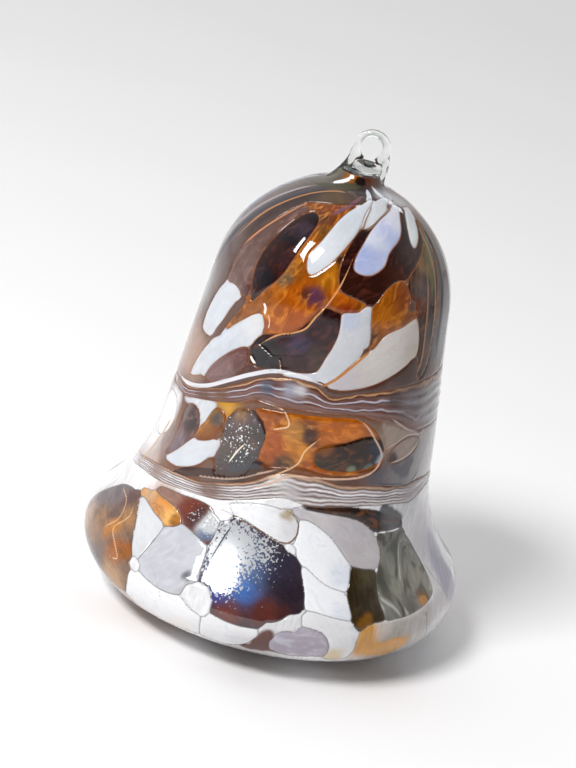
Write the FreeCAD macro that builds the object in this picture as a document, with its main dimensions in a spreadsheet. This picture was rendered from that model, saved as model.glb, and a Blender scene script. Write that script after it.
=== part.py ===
"""Closed hand-blown glass bell with a hanging loop.

A clear bubble carries a skin of coloured glass chips, laid in a dark ground glass and
crossed by two bands of stretched threads. A hot seat and a pulled loop sit on the neck.
Millimetres, +Z up, origin in the middle of the polished base.
"""
import FreeCAD, Part

import math
import os

import Sketcher

Vector = FreeCAD.Vector

# name, value in mm or degrees, what it is
SIZES = [
    ("base_radius", 17, "flat bottom, where the belly arc starts"),
    ("belly_radius", 43, "shallow arc under the flare"),
    ("rim_radius", 40, "widest radius of the bell"),
    ("roll_radius", 8, "rounded lower rim"),
    ("waist_radius", 28.2, "radius that the flare would close to"),
    ("flare_radius", 33.5, "hollow arc of the flare"),
    ("shoulder_radius", 24.4, "radius at the foot of the dome"),
    ("dome_radius", 25.6, "arc of the dome"),
    ("dome_height", 68, "height of the dome arc's centre"),
    ("stem_radius", 3.6, "radius that the neck would close to"),
    ("neck_radius", 5, "hollow arc of the neck"),
    ("neck_height", 95, "top of the coloured neck"),
    ("hollow_height", 88.5, "top of the inner hollow"),
    ("chip_thickness", 0.7, "coloured skin"),
    ("bubble_thickness", 1.1, "clear wall under the skin"),
    ("polish_radius", 14, "polished clear patch that the bell stands on"),
    ("outline_width", 0.3, "ground glass left between two chips"),
    ("chip_reach", 7, "how deep an outline is punched from the wall"),
    ("band_tilt", 9.5, "lean of both thread bands"),
    ("upper_band_height", 52, "upper thread band on the axis"),
    ("upper_band_width", 4.6, ""),
    ("lower_band_height", 35, "lower thread band on the axis"),
    ("lower_band_width", 4.2, ""),
    ("seat_radius", 3.9, "clear seat of the loop"),
    ("seat_thickness", 1.8, ""),
    ("seat_fillet", 0.8, ""),
    ("seat_shift", 0.5, "the seat sits a little to the right"),
    ("loop_height", 99.5, "centre of the hanging loop"),
    ("loop_shift", 1.2, "the loop leans a little to the right"),
    ("loop_radius", 3, "middle of the loop's rod"),
    ("rod_radius", 0.78, "loop's rod"),
    ("leg_start_height", 98.3, "where the legs leave the ring"),
    ("left_foot_reach", 7.8, "left leg's foot from the axis"),
    ("left_foot_height", 91.4, ""),
    ("left_foot_radius", 1.3, ""),
    ("right_foot_reach", 5.7, "right leg's foot from the axis"),
    ("right_foot_height", 92.8, ""),
    ("right_foot_radius", 1, ""),
]

# Chips of coloured glass, in the order they were laid: a later chip lies over an earlier
# one. Each corner is (degrees round the axis from the front, + to the right; millimetres
# up the wall from the middle of the base).
UPPER_CHIPS = {
    "amber_shoulder": [(-46, 99), (-36, 110), (-24, 119), (-40, 129), (-12, 132), (6, 132),
                       (10, 124), (16, 112), (2, 110), (-10, 104), (-26, 102)],
    "umber_streaks_right": [(54, 97.5), (50, 106), (46, 112), (41, 117), (52, 122), (66, 128),
                            (76, 128), (66, 120), (61, 112), (61, 102)],
    "mauve_shoulder": [(-56, 108), (-58, 116), (-52, 122), (-44, 128), (-33, 128), (-38, 118),
                       (-41, 108)],
    "oxblood_shoulder": [(-38, 107), (-43, 115), (-40, 122), (-34, 127), (-26, 128.3),
                         (-20.5, 126), (-23, 120), (-26, 114), (-32, 110)],
    "oxblood_flame": [(3, 114.5), (1, 119.5), (6, 125.5), (14, 128), (34, 131.5), (62, 133.5),
                      (74, 129.5), (60, 124), (40, 118.5), (31, 117), (21, 112.7), (11, 113.2)],
    "white_flame_left": [(-13, 115.7), (-17, 119), (-13, 123), (-7, 128.5), (2, 132),
                         (16, 134.5), (24, 135), (13, 131), (8.5, 127), (3, 123.5), (-5, 118.5)],
    "white_flame_middle": [(12.5, 127.5), (12, 129.5), (17, 132.5), (30, 135.3), (48, 136.5),
                           (60, 136), (44, 134.5), (31, 131.8), (21, 129)],
    "lilac_flame": [(9, 118.5), (8.5, 121), (12, 124), (18, 127.5), (30, 130.8), (50, 133.5),
                    (60, 133.5), (50, 130.5), (41, 126.5), (30, 123.2), (25, 120), (17, 118)],
    "white_flame_narrow": [(51, 124), (49, 125.5), (53, 128.5), (62, 131.3), (76, 133),
                           (84, 132), (70, 129), (59, 125.8)],
    "white_left": [(-66, 96.5), (-66, 101), (-61, 106.2), (-53, 108), (-45.5, 107), (-49, 103),
                   (-53, 99), (-58, 96)],
    "white_diagonal": [(-31, 105.3), (-26.8, 103), (-29, 100), (-38, 96), (-46, 91.5),
                       (-53, 88.5), (-62, 87), (-58, 93), (-49, 98), (-40, 102.3)],
    "mauve_left": [(-50.5, 89.5), (-46, 93), (-39, 96.3), (-33, 98), (-30.5, 96), (-33, 92.5),
                   (-41, 89.2), (-48, 88.3)],
    "oxblood_heart": [(2, 110.3), (6, 109), (7, 106), (4.5, 101), (2, 98), (-8, 96.7),
                      (-20, 95.4), (-28, 95.6), (-30.3, 98), (-27, 101.5), (-14, 104),
                      (-7.5, 107), (-3, 110)],
    "amber_right": [(21, 109), (22, 112.5), (28, 116), (36, 117.3), (40, 115), (41, 111.5),
                    (46, 111), (40, 109), (30, 107), (24.5, 104), (22.5, 106)],
    "white_heart": [(7.5, 109.3), (14, 110.5), (19, 111.8), (21, 109), (21.7, 105.5),
                    (16, 101), (10, 97.3), (3, 95.9), (-12, 95.9), (0, 97.3), (4, 101), (7, 105)],
    "cream_right": [(23.5, 103), (29, 106.5), (37, 108.2), (45, 109.8), (49, 107.5), (50, 104),
                    (46, 101.3), (36, 98.5), (26, 96.4), (14, 95), (8, 95.5), (13, 98.7)],
}
MIDDLE_CHIPS = {
    "pearl_edge_left": [(-84, 74), (-80, 79.5), (-68, 80.3), (-63, 77), (-67, 72.5), (-77, 70.5)],
    "mauve_middle": [(-56, 81), (-50, 82.2), (-46, 80.5), (-46.5, 77), (-50, 74), (-57, 70.3),
                     (-60, 70.5), (-57, 75)],
    "white_middle": [(-31, 78.3), (-38, 76.9), (-46, 75.5), (-52, 72.5), (-58, 69), (-50, 69),
                     (-40, 71.5), (-34, 75)],
    "amber_middle_left": [(-39, 84), (-34, 84), (-34, 81), (-37, 78.2), (-43.5, 76.5), (-42.5, 80)],
    "amber_middle": [(-13, 83.5), (-19, 87.3), (-8, 88.5), (8, 89.3), (22, 89.7), (31, 88),
                     (37, 83), (36, 79.3), (20, 78.3), (4, 78.5), (-9, 77.3), (-13, 79)],
    "smoke_middle": [(-31, 82), (-29, 85.6), (-23, 86.8), (-16, 85.5), (-13.5, 82.5), (-15, 78),
                     (-18, 74), (-25, 72.3), (-31, 73)],
    "umber_oblong": [(8.5, 80), (9.5, 83.3), (20, 84.8), (29, 86.3), (35, 85.8), (38.6, 83),
                     (36, 80.4), (26, 79), (14, 78.8)],
    "taupe_middle_right": [(42, 82.5), (47, 84.8), (55, 85.6), (62, 84.3), (58, 82), (49, 80.6),
                           (43, 80.6)],
}
FLARE_CHIPS = {
    "smoke_lobe_left": [(-66, 59), (-59, 58), (-50, 52.5), (-44, 48), (-42.5, 43), (-50, 39),
                        (-66, 38), (-80, 42), (-83, 50), (-76, 56.5)],
    "pale_wedge": [(-57, 59), (-48, 58.3), (-41.5, 57), (-41.5, 50.5), (-45, 51.3), (-51, 55.5)],
    "lilac_round": [(-39, 57.8), (-33, 59), (-26, 58.6), (-21.5, 56.5), (-21, 51), (-26, 47.2),
                    (-36, 47.8), (-40, 51)],
    "white_bottom_left": [(-40, 46.2), (-30, 45.8), (-20, 45.8), (-16, 43), (-18, 39),
                          (-30, 37.5), (-40, 38.5), (-41.5, 43)],
    "white_bottom_middle": [(-13, 44.8), (-4, 44.6), (1, 44), (-2, 40.5), (-8, 38.5), (-14, 39.5)],
    "amber_teardrop": [(-60, 60.7), (-51, 61.8), (-43, 61.8), (-38, 60.8), (-36.4, 59.3),
                       (-38.5, 58.3), (-46, 59), (-54, 59.9)],
    "brown_lustre": [(-52, 63), (-44, 64.5), (-33, 65.6), (-26, 65.3), (-22.5, 63), (-22, 60),
                     (-24, 59), (-33, 60.8), (-40, 62.5)],
    "silver_lustre": [(-20.5, 58), (-19.5, 63), (-14, 65), (-7, 64.2), (1, 62.3), (7, 60.5),
                      (11, 57.5), (12.7, 53), (10, 49.8), (2, 46.7), (-5, 45.5), (-11, 46.3),
                      (-15, 50), (-19.5, 53)],
    "pearl_oval": [(-20, 67.5), (-12, 69), (-4, 69.6), (3, 69), (7, 66.7), (6.8, 64.3),
                   (1, 63.8), (-6, 65), (-14, 66.3)],
    "umber_crescent": [(10, 70.8), (22, 71.3), (36, 71.3), (48, 69.5), (55, 67.5), (48, 66.8),
                       (41, 67.3), (33, 69.5), (20, 70.3)],
    "lilac_teardrop": [(6, 69.8), (18, 69.7), (28, 69), (37, 66.3), (41.7, 62.5), (39, 60),
                       (33, 60), (28, 62.3), (22, 66), (14, 68.2)],
    "white_oval_upper": [(8.5, 64), (9, 67.2), (13, 67.4), (20, 64.8), (26, 61.2), (28.3, 58),
                         (26, 55.8), (20, 56.7), (12, 60.5)],
    "white_oval_lower": [(12.5, 58.4), (19, 55.8), (25, 54.3), (26.8, 51.5), (26.5, 49.8),
                         (19, 50.6), (14.5, 51.8), (13.5, 54.5)],
    "olive_window": [(29, 55.5), (30, 58.8), (34, 59), (38.5, 58), (38, 53), (38.5, 49.5),
                     (33, 48), (29.5, 49)],
    "clear_window": [(43, 65.5), (50, 65.5), (57, 65), (62, 61.5), (66, 56), (65, 51.5),
                     (56, 49.5), (45, 48.7), (41, 50), (40.5, 56), (44, 61)],
    "lavender_bottom": [(6, 44.3), (10, 46), (16, 46.3), (20.5, 44.5), (21, 41), (13, 39.5), (6, 41)],
    "white_bottom_right": [(16, 50), (22, 49.3), (28, 48), (30.5, 44.5), (29.5, 39.5), (24, 39),
                           (23.5, 44), (20, 47.5), (14, 48.5)],
}
# The far side carries further chips of the same kinds: a front chip's outline turned round
# the axis, under the far chip's own name.
BACK_TURN = 180
BACK_CHIPS = {
    "upper": {"amber_back": "amber_shoulder", "oxblood_back": "oxblood_heart",
              "white_back": "white_heart", "cream_back": "cream_right"},
    "middle": {"amber_middle_back": "amber_middle", "smoke_middle_back": "smoke_middle"},
    "flare": {"lilac_back": "lilac_teardrop", "white_oval_back": "white_oval_upper",
              "silver_lustre_back": "silver_lustre", "clear_window_back": "clear_window"},
}

doc = FreeCAD.newDocument("glass_bell")


def make_sizes():
    """The sheet of driving sizes."""
    sheet = doc.addObject("Spreadsheet::Sheet", "Sizes")
    for row, (alias, value, note) in enumerate(SIZES, start=1):
        sheet.set(f"A{row}", alias)
        sheet.set(f"B{row}", str(value))
        sheet.set(f"C{row}", note)
        sheet.setAlias(f"B{row}", alias)
    doc.recompute()
    return sheet


sheet = make_sizes()


def size(alias):
    """A driving size, read from the sheet."""
    return float(getattr(sheet, alias))


def plane_point(centre, radius, angle):
    """A point of a circle drawn in a sketch."""
    return Vector(centre.x + radius * math.cos(angle), centre.y + radius * math.sin(angle), 0)


def polar_angle(start, end):
    """The direction from one sketch point to another, from 0 to a full turn."""
    return math.atan2(end.y - start.y, end.x - start.x) % (2 * math.pi)


def arc_centres():
    """Centres of the profile's five arcs, each touching the one before it."""
    belly = Vector(size("base_radius"), size("belly_radius"), 0)
    roll = Vector(size("rim_radius") - size("roll_radius"), 0, 0)
    reach = size("belly_radius") - size("roll_radius")
    roll.y = belly.y - math.sqrt(reach**2 - (roll.x - belly.x) ** 2)
    flare = Vector(size("waist_radius") + size("flare_radius"), 0, 0)
    reach = size("roll_radius") + size("flare_radius")
    flare.y = roll.y + math.sqrt(reach**2 - (flare.x - roll.x) ** 2)
    dome = Vector(size("shoulder_radius") - size("dome_radius"), size("dome_height"), 0)
    neck = Vector(size("stem_radius") + size("neck_radius"), 0, 0)
    reach = size("dome_radius") + size("neck_radius")
    neck.y = dome.y + math.sqrt(reach**2 - (neck.x - dome.x) ** 2)
    return belly, roll, flare, dome, neck


def profile_geometry(inset, top, with_neck):
    """Half profile of the bell, `inset` inside its outer face, cut off flat at `top`.

    Base line, belly arc, roll arc, flare arc, side line, dome arc, neck arc (if it has
    one), top line and axis line, in that order from the middle of the base.
    """
    belly, roll, flare, dome, neck = arc_centres()
    belly_size = size("belly_radius") - inset
    roll_size = size("roll_radius") - inset
    flare_size = size("flare_radius") + inset
    dome_size = size("dome_radius") - inset
    neck_size = size("neck_radius") + inset
    side = polar_angle(flare, dome) + math.acos(
        (flare_size + dome_size) / flare.distanceToPoint(dome))
    roll_start = polar_angle(belly, roll)
    roll_end = polar_angle(roll, flare)
    dome_start = side - math.pi
    dome_end = polar_angle(dome, neck)
    if not with_neck:
        dome_end = math.asin((top - dome.y) / dome_size)
    up = Vector(0, 0, 1)

    def arc(centre, radius, start, end):
        return Part.ArcOfCircle(Part.Circle(centre, up, radius), start, end)

    base_end = Vector(belly.x, inset, 0)
    side_start = plane_point(flare, flare_size, side)
    top_end = plane_point(dome, dome_size, dome_end)
    lines = [
        Part.LineSegment(Vector(0, inset, 0), base_end),
        arc(belly, belly_size, 1.5 * math.pi, roll_start),
        arc(roll, roll_size, roll_start - 2 * math.pi, roll_end),
        arc(flare, flare_size, side, roll_end + math.pi),
        Part.LineSegment(side_start, plane_point(dome, dome_size, dome_start)),
        arc(dome, dome_size, dome_start, dome_end),
    ]
    if with_neck:
        neck_top = math.pi + math.asin((neck.y - top) / neck_size)
        lines.append(arc(neck, neck_size, neck_top, dome_end + math.pi))
        top_end = plane_point(neck, neck_size, neck_top)
    lines.append(Part.LineSegment(top_end, Vector(0, top, 0)))
    lines.append(Part.LineSegment(Vector(0, top, 0), Vector(0, inset, 0)))
    return lines


def origin_plane(body, role):
    """A body's own origin plane."""
    return [feature for feature in body.Origin.OriginFeatures if feature.Role == role][0]


def bell_form(name, insets, top, with_neck=True):
    """A solid of revolution with the bell's shape, inside the outer face by `insets`.

    `insets` are the aliases of the layers outside this form, and `top` that of its height.
    """
    body = doc.addObject("PartDesign::Body", name)
    sketch = body.newObject("Sketcher::SketchObject", name + "_profile")
    sketch.AttachmentSupport = [(origin_plane(body, "XZ_Plane"), "")]
    sketch.MapMode = "FlatFace"
    inset = sum(size(alias) for alias in insets)
    sketch.addGeometry(profile_geometry(inset, size(top), with_neck), False)
    base, belly, roll, flare, side, dome = range(6)
    neck = 6
    top_line = 7 if with_neck else 6
    axis_line = top_line + 1
    start, end, centre = 1, 2, 3
    x_axis, y_axis, origin = -1, -2, (-1, 1)
    joints = [
        ("Tangent", base, end, belly, start),
        ("Tangent", belly, end, roll, start),
        ("Tangent", roll, end, flare, end),
        ("Tangent", flare, start, side, start),
        ("Tangent", side, end, dome, start),
        ("Coincident", top_line, end, axis_line, start),
        ("Coincident", axis_line, end, base, start),
        ("PointOnObject", axis_line, start, y_axis),
        ("PointOnObject", axis_line, end, y_axis),
        ("Horizontal", base),
        ("Horizontal", top_line),
    ]
    if with_neck:
        joints.append(("Tangent", dome, end, neck, end))
        joints.append(("Coincident", neck, start, top_line, start))
    else:
        joints.append(("Coincident", dome, end, top_line, start))
    if not insets:
        joints.append(("PointOnObject", base, end, x_axis))
    for joint in joints:
        sketch.addConstraint(Sketcher.Constraint(*joint))

    less = "".join(f" - Sizes.{alias}" for alias in insets)
    more = "".join(f" + Sizes.{alias}" for alias in insets)
    rules = [
        ("DistanceX", (*origin, base, end), "Sizes.base_radius"),
        ("Radius", (belly,), "Sizes.belly_radius" + less),
        ("Radius", (roll,), "Sizes.roll_radius" + less),
        ("DistanceX", (*origin, roll, centre), "Sizes.rim_radius - Sizes.roll_radius"),
        ("Radius", (flare,), "Sizes.flare_radius" + more),
        ("DistanceX", (*origin, flare, centre), "Sizes.waist_radius + Sizes.flare_radius"),
        ("Radius", (dome,), "Sizes.dome_radius" + less),
        ("DistanceX", (*origin, dome, centre), "Sizes.shoulder_radius - Sizes.dome_radius"),
        ("DistanceY", (*origin, dome, centre), "Sizes.dome_height"),
        ("DistanceY", (*origin, top_line, end), "Sizes." + top),
    ]
    if insets:
        rules.append(("DistanceY", (*origin, base, end), more.removeprefix(" + ")))
    if with_neck:
        rules.append(("Radius", (neck,), "Sizes.neck_radius" + more))
        rules.append(("DistanceX", (*origin, neck, centre), "Sizes.stem_radius + Sizes.neck_radius"))
    for kind, points, rule in rules:
        value = sketch.evalExpression(rule)
        index = sketch.addConstraint(Sketcher.Constraint(kind, *points, float(value)))
        sketch.setExpression(f"Constraints[{index}]", rule)

    turned = body.newObject("PartDesign::Revolution", name + "_turned")
    turned.Profile = (sketch, [""])
    turned.ReferenceAxis = (sketch, ["V_Axis"])
    turned.Angle = 360
    body.Tip = turned
    doc.recompute()
    return body


def boolean(kind, name, first, second):
    """A Part::Cut or Part::Common of two objects."""
    result = doc.addObject(kind, name)
    result.Base = first
    result.Tool = second
    doc.recompute()
    return result


def fused(name, *pieces):
    """A Part::MultiFuse of several objects."""
    result = doc.addObject("Part::MultiFuse", name)
    result.Shapes = list(pieces)
    doc.recompute()
    return result


def primitive(kind, name, **rules):
    """A Part primitive whose properties follow expressions of the sheet."""
    result = doc.addObject(kind, name)
    for key, rule in rules.items():
        result.setExpression(key.replace("__", "."), rule)
    doc.recompute()
    return result


# The wall: an outer form, a form under the coloured skin and the hollow.
outer_form = bell_form("outer_form", [], "neck_height")
bed_form = bell_form("bed_form", ["chip_thickness"], "neck_height")
hollow_form = bell_form("hollow_form", ["chip_thickness", "bubble_thickness"], "hollow_height", False)
polished_pad = primitive("Part::Cylinder", "polished_pad",
                         Radius="Sizes.polish_radius", Height="Sizes.chip_thickness * 1.5")
bubble_outside = fused("bubble_outside", bed_form, polished_pad)
clear_bubble = boolean("Part::Cut", "clear_bubble", bubble_outside, hollow_form)
coloured_skin = boolean("Part::Cut", "coloured_skin", outer_form, bubble_outside)


def band_slab(name, height, width):
    """A tilted slab across the whole bell, which cuts a thread band out of the skin."""
    slab = primitive("Part::Box", name, Length="Sizes.rim_radius * 3", Width="Sizes.rim_radius * 3",
                     Height=width)
    half = 1.5 * size("rim_radius")
    tilt = FreeCAD.Rotation(Vector(0, 1, 0), -size("band_tilt"))
    middle = Vector(0, 0, size(height))
    slab.Placement = FreeCAD.Placement(
        middle - tilt.multVec(Vector(half, half, slab.Height.Value / 2)), tilt)
    doc.recompute()
    return slab


upper_slab = band_slab("upper_slab", "upper_band_height", "Sizes.upper_band_width")
lower_slab = band_slab("lower_slab", "lower_band_height", "Sizes.lower_band_width")
upper_thread_band = boolean("Part::Common", "upper_thread_band", coloured_skin, upper_slab)
lower_thread_band = boolean("Part::Common", "lower_thread_band", coloured_skin, lower_slab)
bands = fused("bands", upper_slab, lower_slab)
fields = boolean("Part::Cut", "fields", coloured_skin, bands)


def wall_edges():
    """Edges of the outer profile from the middle of the base up to the neck."""
    return [curve.toShape() for curve in profile_geometry(0, size("neck_height"), True)[:7]]


WALL = wall_edges()


def wall_point(azimuth, distance):
    """Place and outward normal on the outer face, `distance` up the wall."""
    left = distance
    for edge in WALL:
        if left <= edge.Length or edge is WALL[-1]:
            break
        left -= edge.Length
    runs_up = edge.Curve.TypeId != "Part::GeomCircle" or edge.Curve.Center.x < edge.CenterOfMass.x
    along = left if runs_up else edge.Length - left
    place = edge.getParameterByLength(min(max(along, 0), edge.Length))
    point = edge.valueAt(place)
    tangent = edge.tangentAt(place) * (1 if runs_up else -1)
    turn = FreeCAD.Rotation(Vector(0, 0, 1), azimuth - 90)
    return turn.multVec(Vector(point.x, 0, point.y)), turn.multVec(Vector(tangent.y, 0, -tangent.x))


def widened(outline, grow):
    """A closed planar curve with each of its points moved out by `grow`."""
    steps = 2 * outline.NbKnots
    first, last = outline.FirstParameter, outline.LastParameter
    places = [first + (last - first) * step / steps for step in range(steps)]
    points = [outline.value(place) for place in places]
    twice_area = sum(here.x * ahead.y - ahead.x * here.y
                     for here, ahead in zip(points, points[1:] + points[:1]))
    outward = math.copysign(grow, twice_area)
    moved = []
    for place, point in zip(places, points):
        along = outline.tangent(place)[0]
        moved.append(point + Vector(along.y, -along.x, 0) * outward)
    wider = Part.BSplineCurve()
    wider.interpolate(Points=moved, PeriodicFlag=True)
    return wider


def chip_punch(corners, grow=0):
    """A solid punch through the wall with a smooth outline through the corners."""
    turns = [azimuth for azimuth, distance in corners]
    climbs = [distance for azimuth, distance in corners]
    middle, normal = wall_point((min(turns) + max(turns)) / 2, (min(climbs) + max(climbs)) / 2)
    frame = FreeCAD.Placement(middle, FreeCAD.Rotation(Vector(0, 0, 1), normal))
    flat = []
    for azimuth, distance in corners:
        local = frame.inverse().multVec(wall_point(azimuth, distance)[0])
        flat.append(Vector(local.x, local.y, 0))
    outline = Part.BSplineCurve()
    outline.interpolate(Points=flat, PeriodicFlag=True)
    if grow:
        outline = widened(outline, grow)
    reach = size("chip_reach")
    outline.translate(Vector(0, 0, reach / 2))
    punch = Part.Face(Part.Wire(outline.toShape())).extrude(Vector(0, 0, -1.5 * reach))
    punch.Placement = frame
    return punch


def largest(shape):
    """The largest solid of a shape."""
    return max(shape.Solids, key=lambda solid: solid.Volume)


def lay_chips(field, outlines):
    """Chips cut out of a ring of skin, later ones over earlier ones, by name."""
    names = list(outlines)
    punches = [chip_punch(outlines[name]) for name in names]
    grown = [chip_punch(outlines[name], size("outline_width")) for name in names]
    chips = {}
    for index, name in enumerate(names):
        chip = field.common(punches[index])
        over = [punch for punch in grown[index + 1:] if punch.BoundBox.intersect(chip.BoundBox)]
        if over:
            chip = chip.cut(over)
        chips[name] = largest(chip)
    return chips


def turned_chips(field_name, outlines):
    """A field's outlines with the far side's chips added."""
    turned = {}
    for name, front in BACK_CHIPS[field_name].items():
        turned[name] = [(azimuth + BACK_TURN, distance) for azimuth, distance in outlines[front]]
    return {**outlines, **turned}


def node(name, shape):
    """A piece of glass with a free-form outline, as an object of its own."""
    piece = doc.addObject("Part::Feature", name)
    piece.Shape = shape
    piece.Placement = FreeCAD.Placement()
    return piece


flare_field, middle_field, upper_field = sorted(
    fields.Shape.Solids, key=lambda solid: solid.CenterOfMass.z)
pieces = [clear_bubble, upper_thread_band, lower_thread_band]
for field_name, field, outlines in (("upper", upper_field, UPPER_CHIPS),
                                    ("middle", middle_field, MIDDLE_CHIPS),
                                    ("flare", flare_field, FLARE_CHIPS)):
    chips = lay_chips(field, turned_chips(field_name, outlines))
    pieces += [node("chip_" + name, chip) for name, chip in chips.items()]
    ground = largest(field.cut(list(chips.values())))
    pieces.append(node(field_name + "_ground_glass", ground))

# The hot seat dropped on the neck, and the loop pulled from it.
seat_block = primitive("Part::Cylinder", "seat_block",
                       Radius="Sizes.seat_radius", Height="Sizes.seat_thickness")
seat_block.setExpression("Placement.Base.x", "Sizes.seat_shift")
seat_block.setExpression("Placement.Base.z", "Sizes.neck_height")
doc.recompute()
loop_seat = doc.addObject("Part::Fillet", "loop_seat")
loop_seat.Base = seat_block
upper_rim = 3
loop_seat.Edges = [(upper_rim, size("seat_fillet"), size("seat_fillet"))]
doc.recompute()
pieces.append(loop_seat)

ring = primitive("Part::Torus", "ring", Radius1="Sizes.loop_radius", Radius2="Sizes.rod_radius")
ring.Placement = FreeCAD.Placement(
    Vector(size("loop_shift"), 0, size("loop_height")),
    FreeCAD.Rotation(Vector(1, 0, 0), 90))


def leg(name, side):
    """A leg of the loop, which thickens from the ring down to its foot on the dome.

    `side` is "left" or "right".
    """
    way = -1 if side == "left" else 1
    top = Vector(size("loop_shift") + way * size("loop_radius"), 0, size("leg_start_height"))
    foot = Vector(way * size(side + "_foot_reach"), 0, size(side + "_foot_height"))
    cone = primitive("Part::Cone", name,
                     Radius1="Sizes.rod_radius", Radius2=f"Sizes.{side}_foot_radius")
    cone.Height = (foot - top).Length
    cone.Placement = FreeCAD.Placement(top, FreeCAD.Rotation(Vector(0, 0, 1), foot - top))
    return cone


left_leg = leg("left_leg", "left")
right_leg = leg("right_leg", "right")
loop_rod = fused("loop_rod", ring, left_leg, right_leg)
loop_over_bell = boolean("Part::Cut", "loop_over_bell", loop_rod, outer_form)
hanging_loop = boolean("Part::Cut", "hanging_loop", loop_over_bell, loop_seat)
pieces.append(hanging_loop)


def write_pieces():
    """Check every object and write each piece's solid to its own file."""
    doc.recompute()
    for item in doc.Objects:
        if "Invalid" in item.State or "Error" in item.State:
            raise RuntimeError(f"{item.Name} did not build: {item.State}")
    os.makedirs("parts", exist_ok=True)
    for piece in pieces:
        piece.Label = piece.Name
        shape = piece.Shape
        if shape.isNull() or not shape.isValid() or not shape.Solids:
            raise RuntimeError(f"{piece.Label} has no valid solid")
        shape.exportStep(f"parts/{piece.Label}.step")
        print(f"{piece.Label}: {shape.Volume:.1f} mm3, {len(shape.Solids)} solid")


write_pieces()
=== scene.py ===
"""Looks of the closed hand-blown glass bell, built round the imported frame.

The bell's face is one grid, round the axis and up the wall. Each chip, band and ground glass
takes the triangles inside its outline, and becomes a closed shell of its own that stands for
its CAD node. Places are worked out in millimetres and given to Blender in metres. A place on
the wall is (degrees round the axis from the front, + to the right; millimetres up the wall
from the middle of the base).
"""
import itertools
import math

import bpy
import numpy as np
from mathutils import Matrix, Vector


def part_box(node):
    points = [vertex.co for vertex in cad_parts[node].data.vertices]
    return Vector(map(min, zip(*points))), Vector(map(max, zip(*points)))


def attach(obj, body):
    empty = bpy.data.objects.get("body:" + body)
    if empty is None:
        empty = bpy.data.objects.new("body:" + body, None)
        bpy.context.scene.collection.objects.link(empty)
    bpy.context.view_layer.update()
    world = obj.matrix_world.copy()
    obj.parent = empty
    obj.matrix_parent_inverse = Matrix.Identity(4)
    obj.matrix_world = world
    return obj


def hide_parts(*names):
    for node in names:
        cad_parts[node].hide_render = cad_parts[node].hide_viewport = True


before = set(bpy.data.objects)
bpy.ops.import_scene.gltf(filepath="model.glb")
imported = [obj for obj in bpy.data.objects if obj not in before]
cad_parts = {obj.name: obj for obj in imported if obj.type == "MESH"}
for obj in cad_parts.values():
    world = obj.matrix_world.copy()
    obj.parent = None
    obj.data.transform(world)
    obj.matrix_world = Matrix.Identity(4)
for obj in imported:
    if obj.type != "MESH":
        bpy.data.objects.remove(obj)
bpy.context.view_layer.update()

MM = 0.001

# The outer profile, the same arcs as the CAD wall: centre (radius, height) and radius.
BELLY = ((17, 43), 43)
ROLL = ((32, 11.377), 8)
FLARE = ((61.7, 40.363), 33.5)
DOME = ((-1.2, 68), 25.6)
NECK = ((8.6, 96.994), 5)
NECK_TOP = 95
# The skin starts at the edge of the flat pad that the bell stands on.
PAD_RADIUS = 14
SKIN_THICKNESS = 0.68

# The grid that carries the skin: its points round the axis and up the wall, how near a seam
# a point is pulled onto it, and how far from a seam the distance to it is still kept.
TURNS = 760
CLIMBS = 420
SNAP = 0.16
SEAM_REACH = 4
# Widest gaps that chips close between them, in the upper, middle and flare fields.
CLOSED_GAPS = (1.8, 1.8, 3.2)

# Relief over the plain wall: how far chips bulge, seams sink, threads swell and the ridges
# of the bands rise, and how wide the bulge and the sunk seam are.
BULGE, BULGE_WIDTH = 0.07, 1.6
GROOVE, GROOVE_WIDTH = 0.08, 0.32
THREAD_RISE = 0.08
RIDGE_RISE = 0.07
RIDGES = {"upper_thread_band": 5, "lower_thread_band": 6}
# Random fields: (how strong, size of a cell in millimetres, seed). The wall's are swells, the
# ridges' is a wander across the band, as a share of its width.
SWELLS = ((0.2, 12, 11), (0.035, 5, 12))
RIDGE_WANDER = (0.06, 7, 13)
# Tints are looked up aside of each place by these fields: round the axis, then up the wall.
DRIFTS = (((0.9, 4, 21), (0.35, 1.3, 22)), ((0.9, 4, 31), (0.35, 1.3, 32)))
SIGHT_WANDER = (7, 9, 41)

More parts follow.
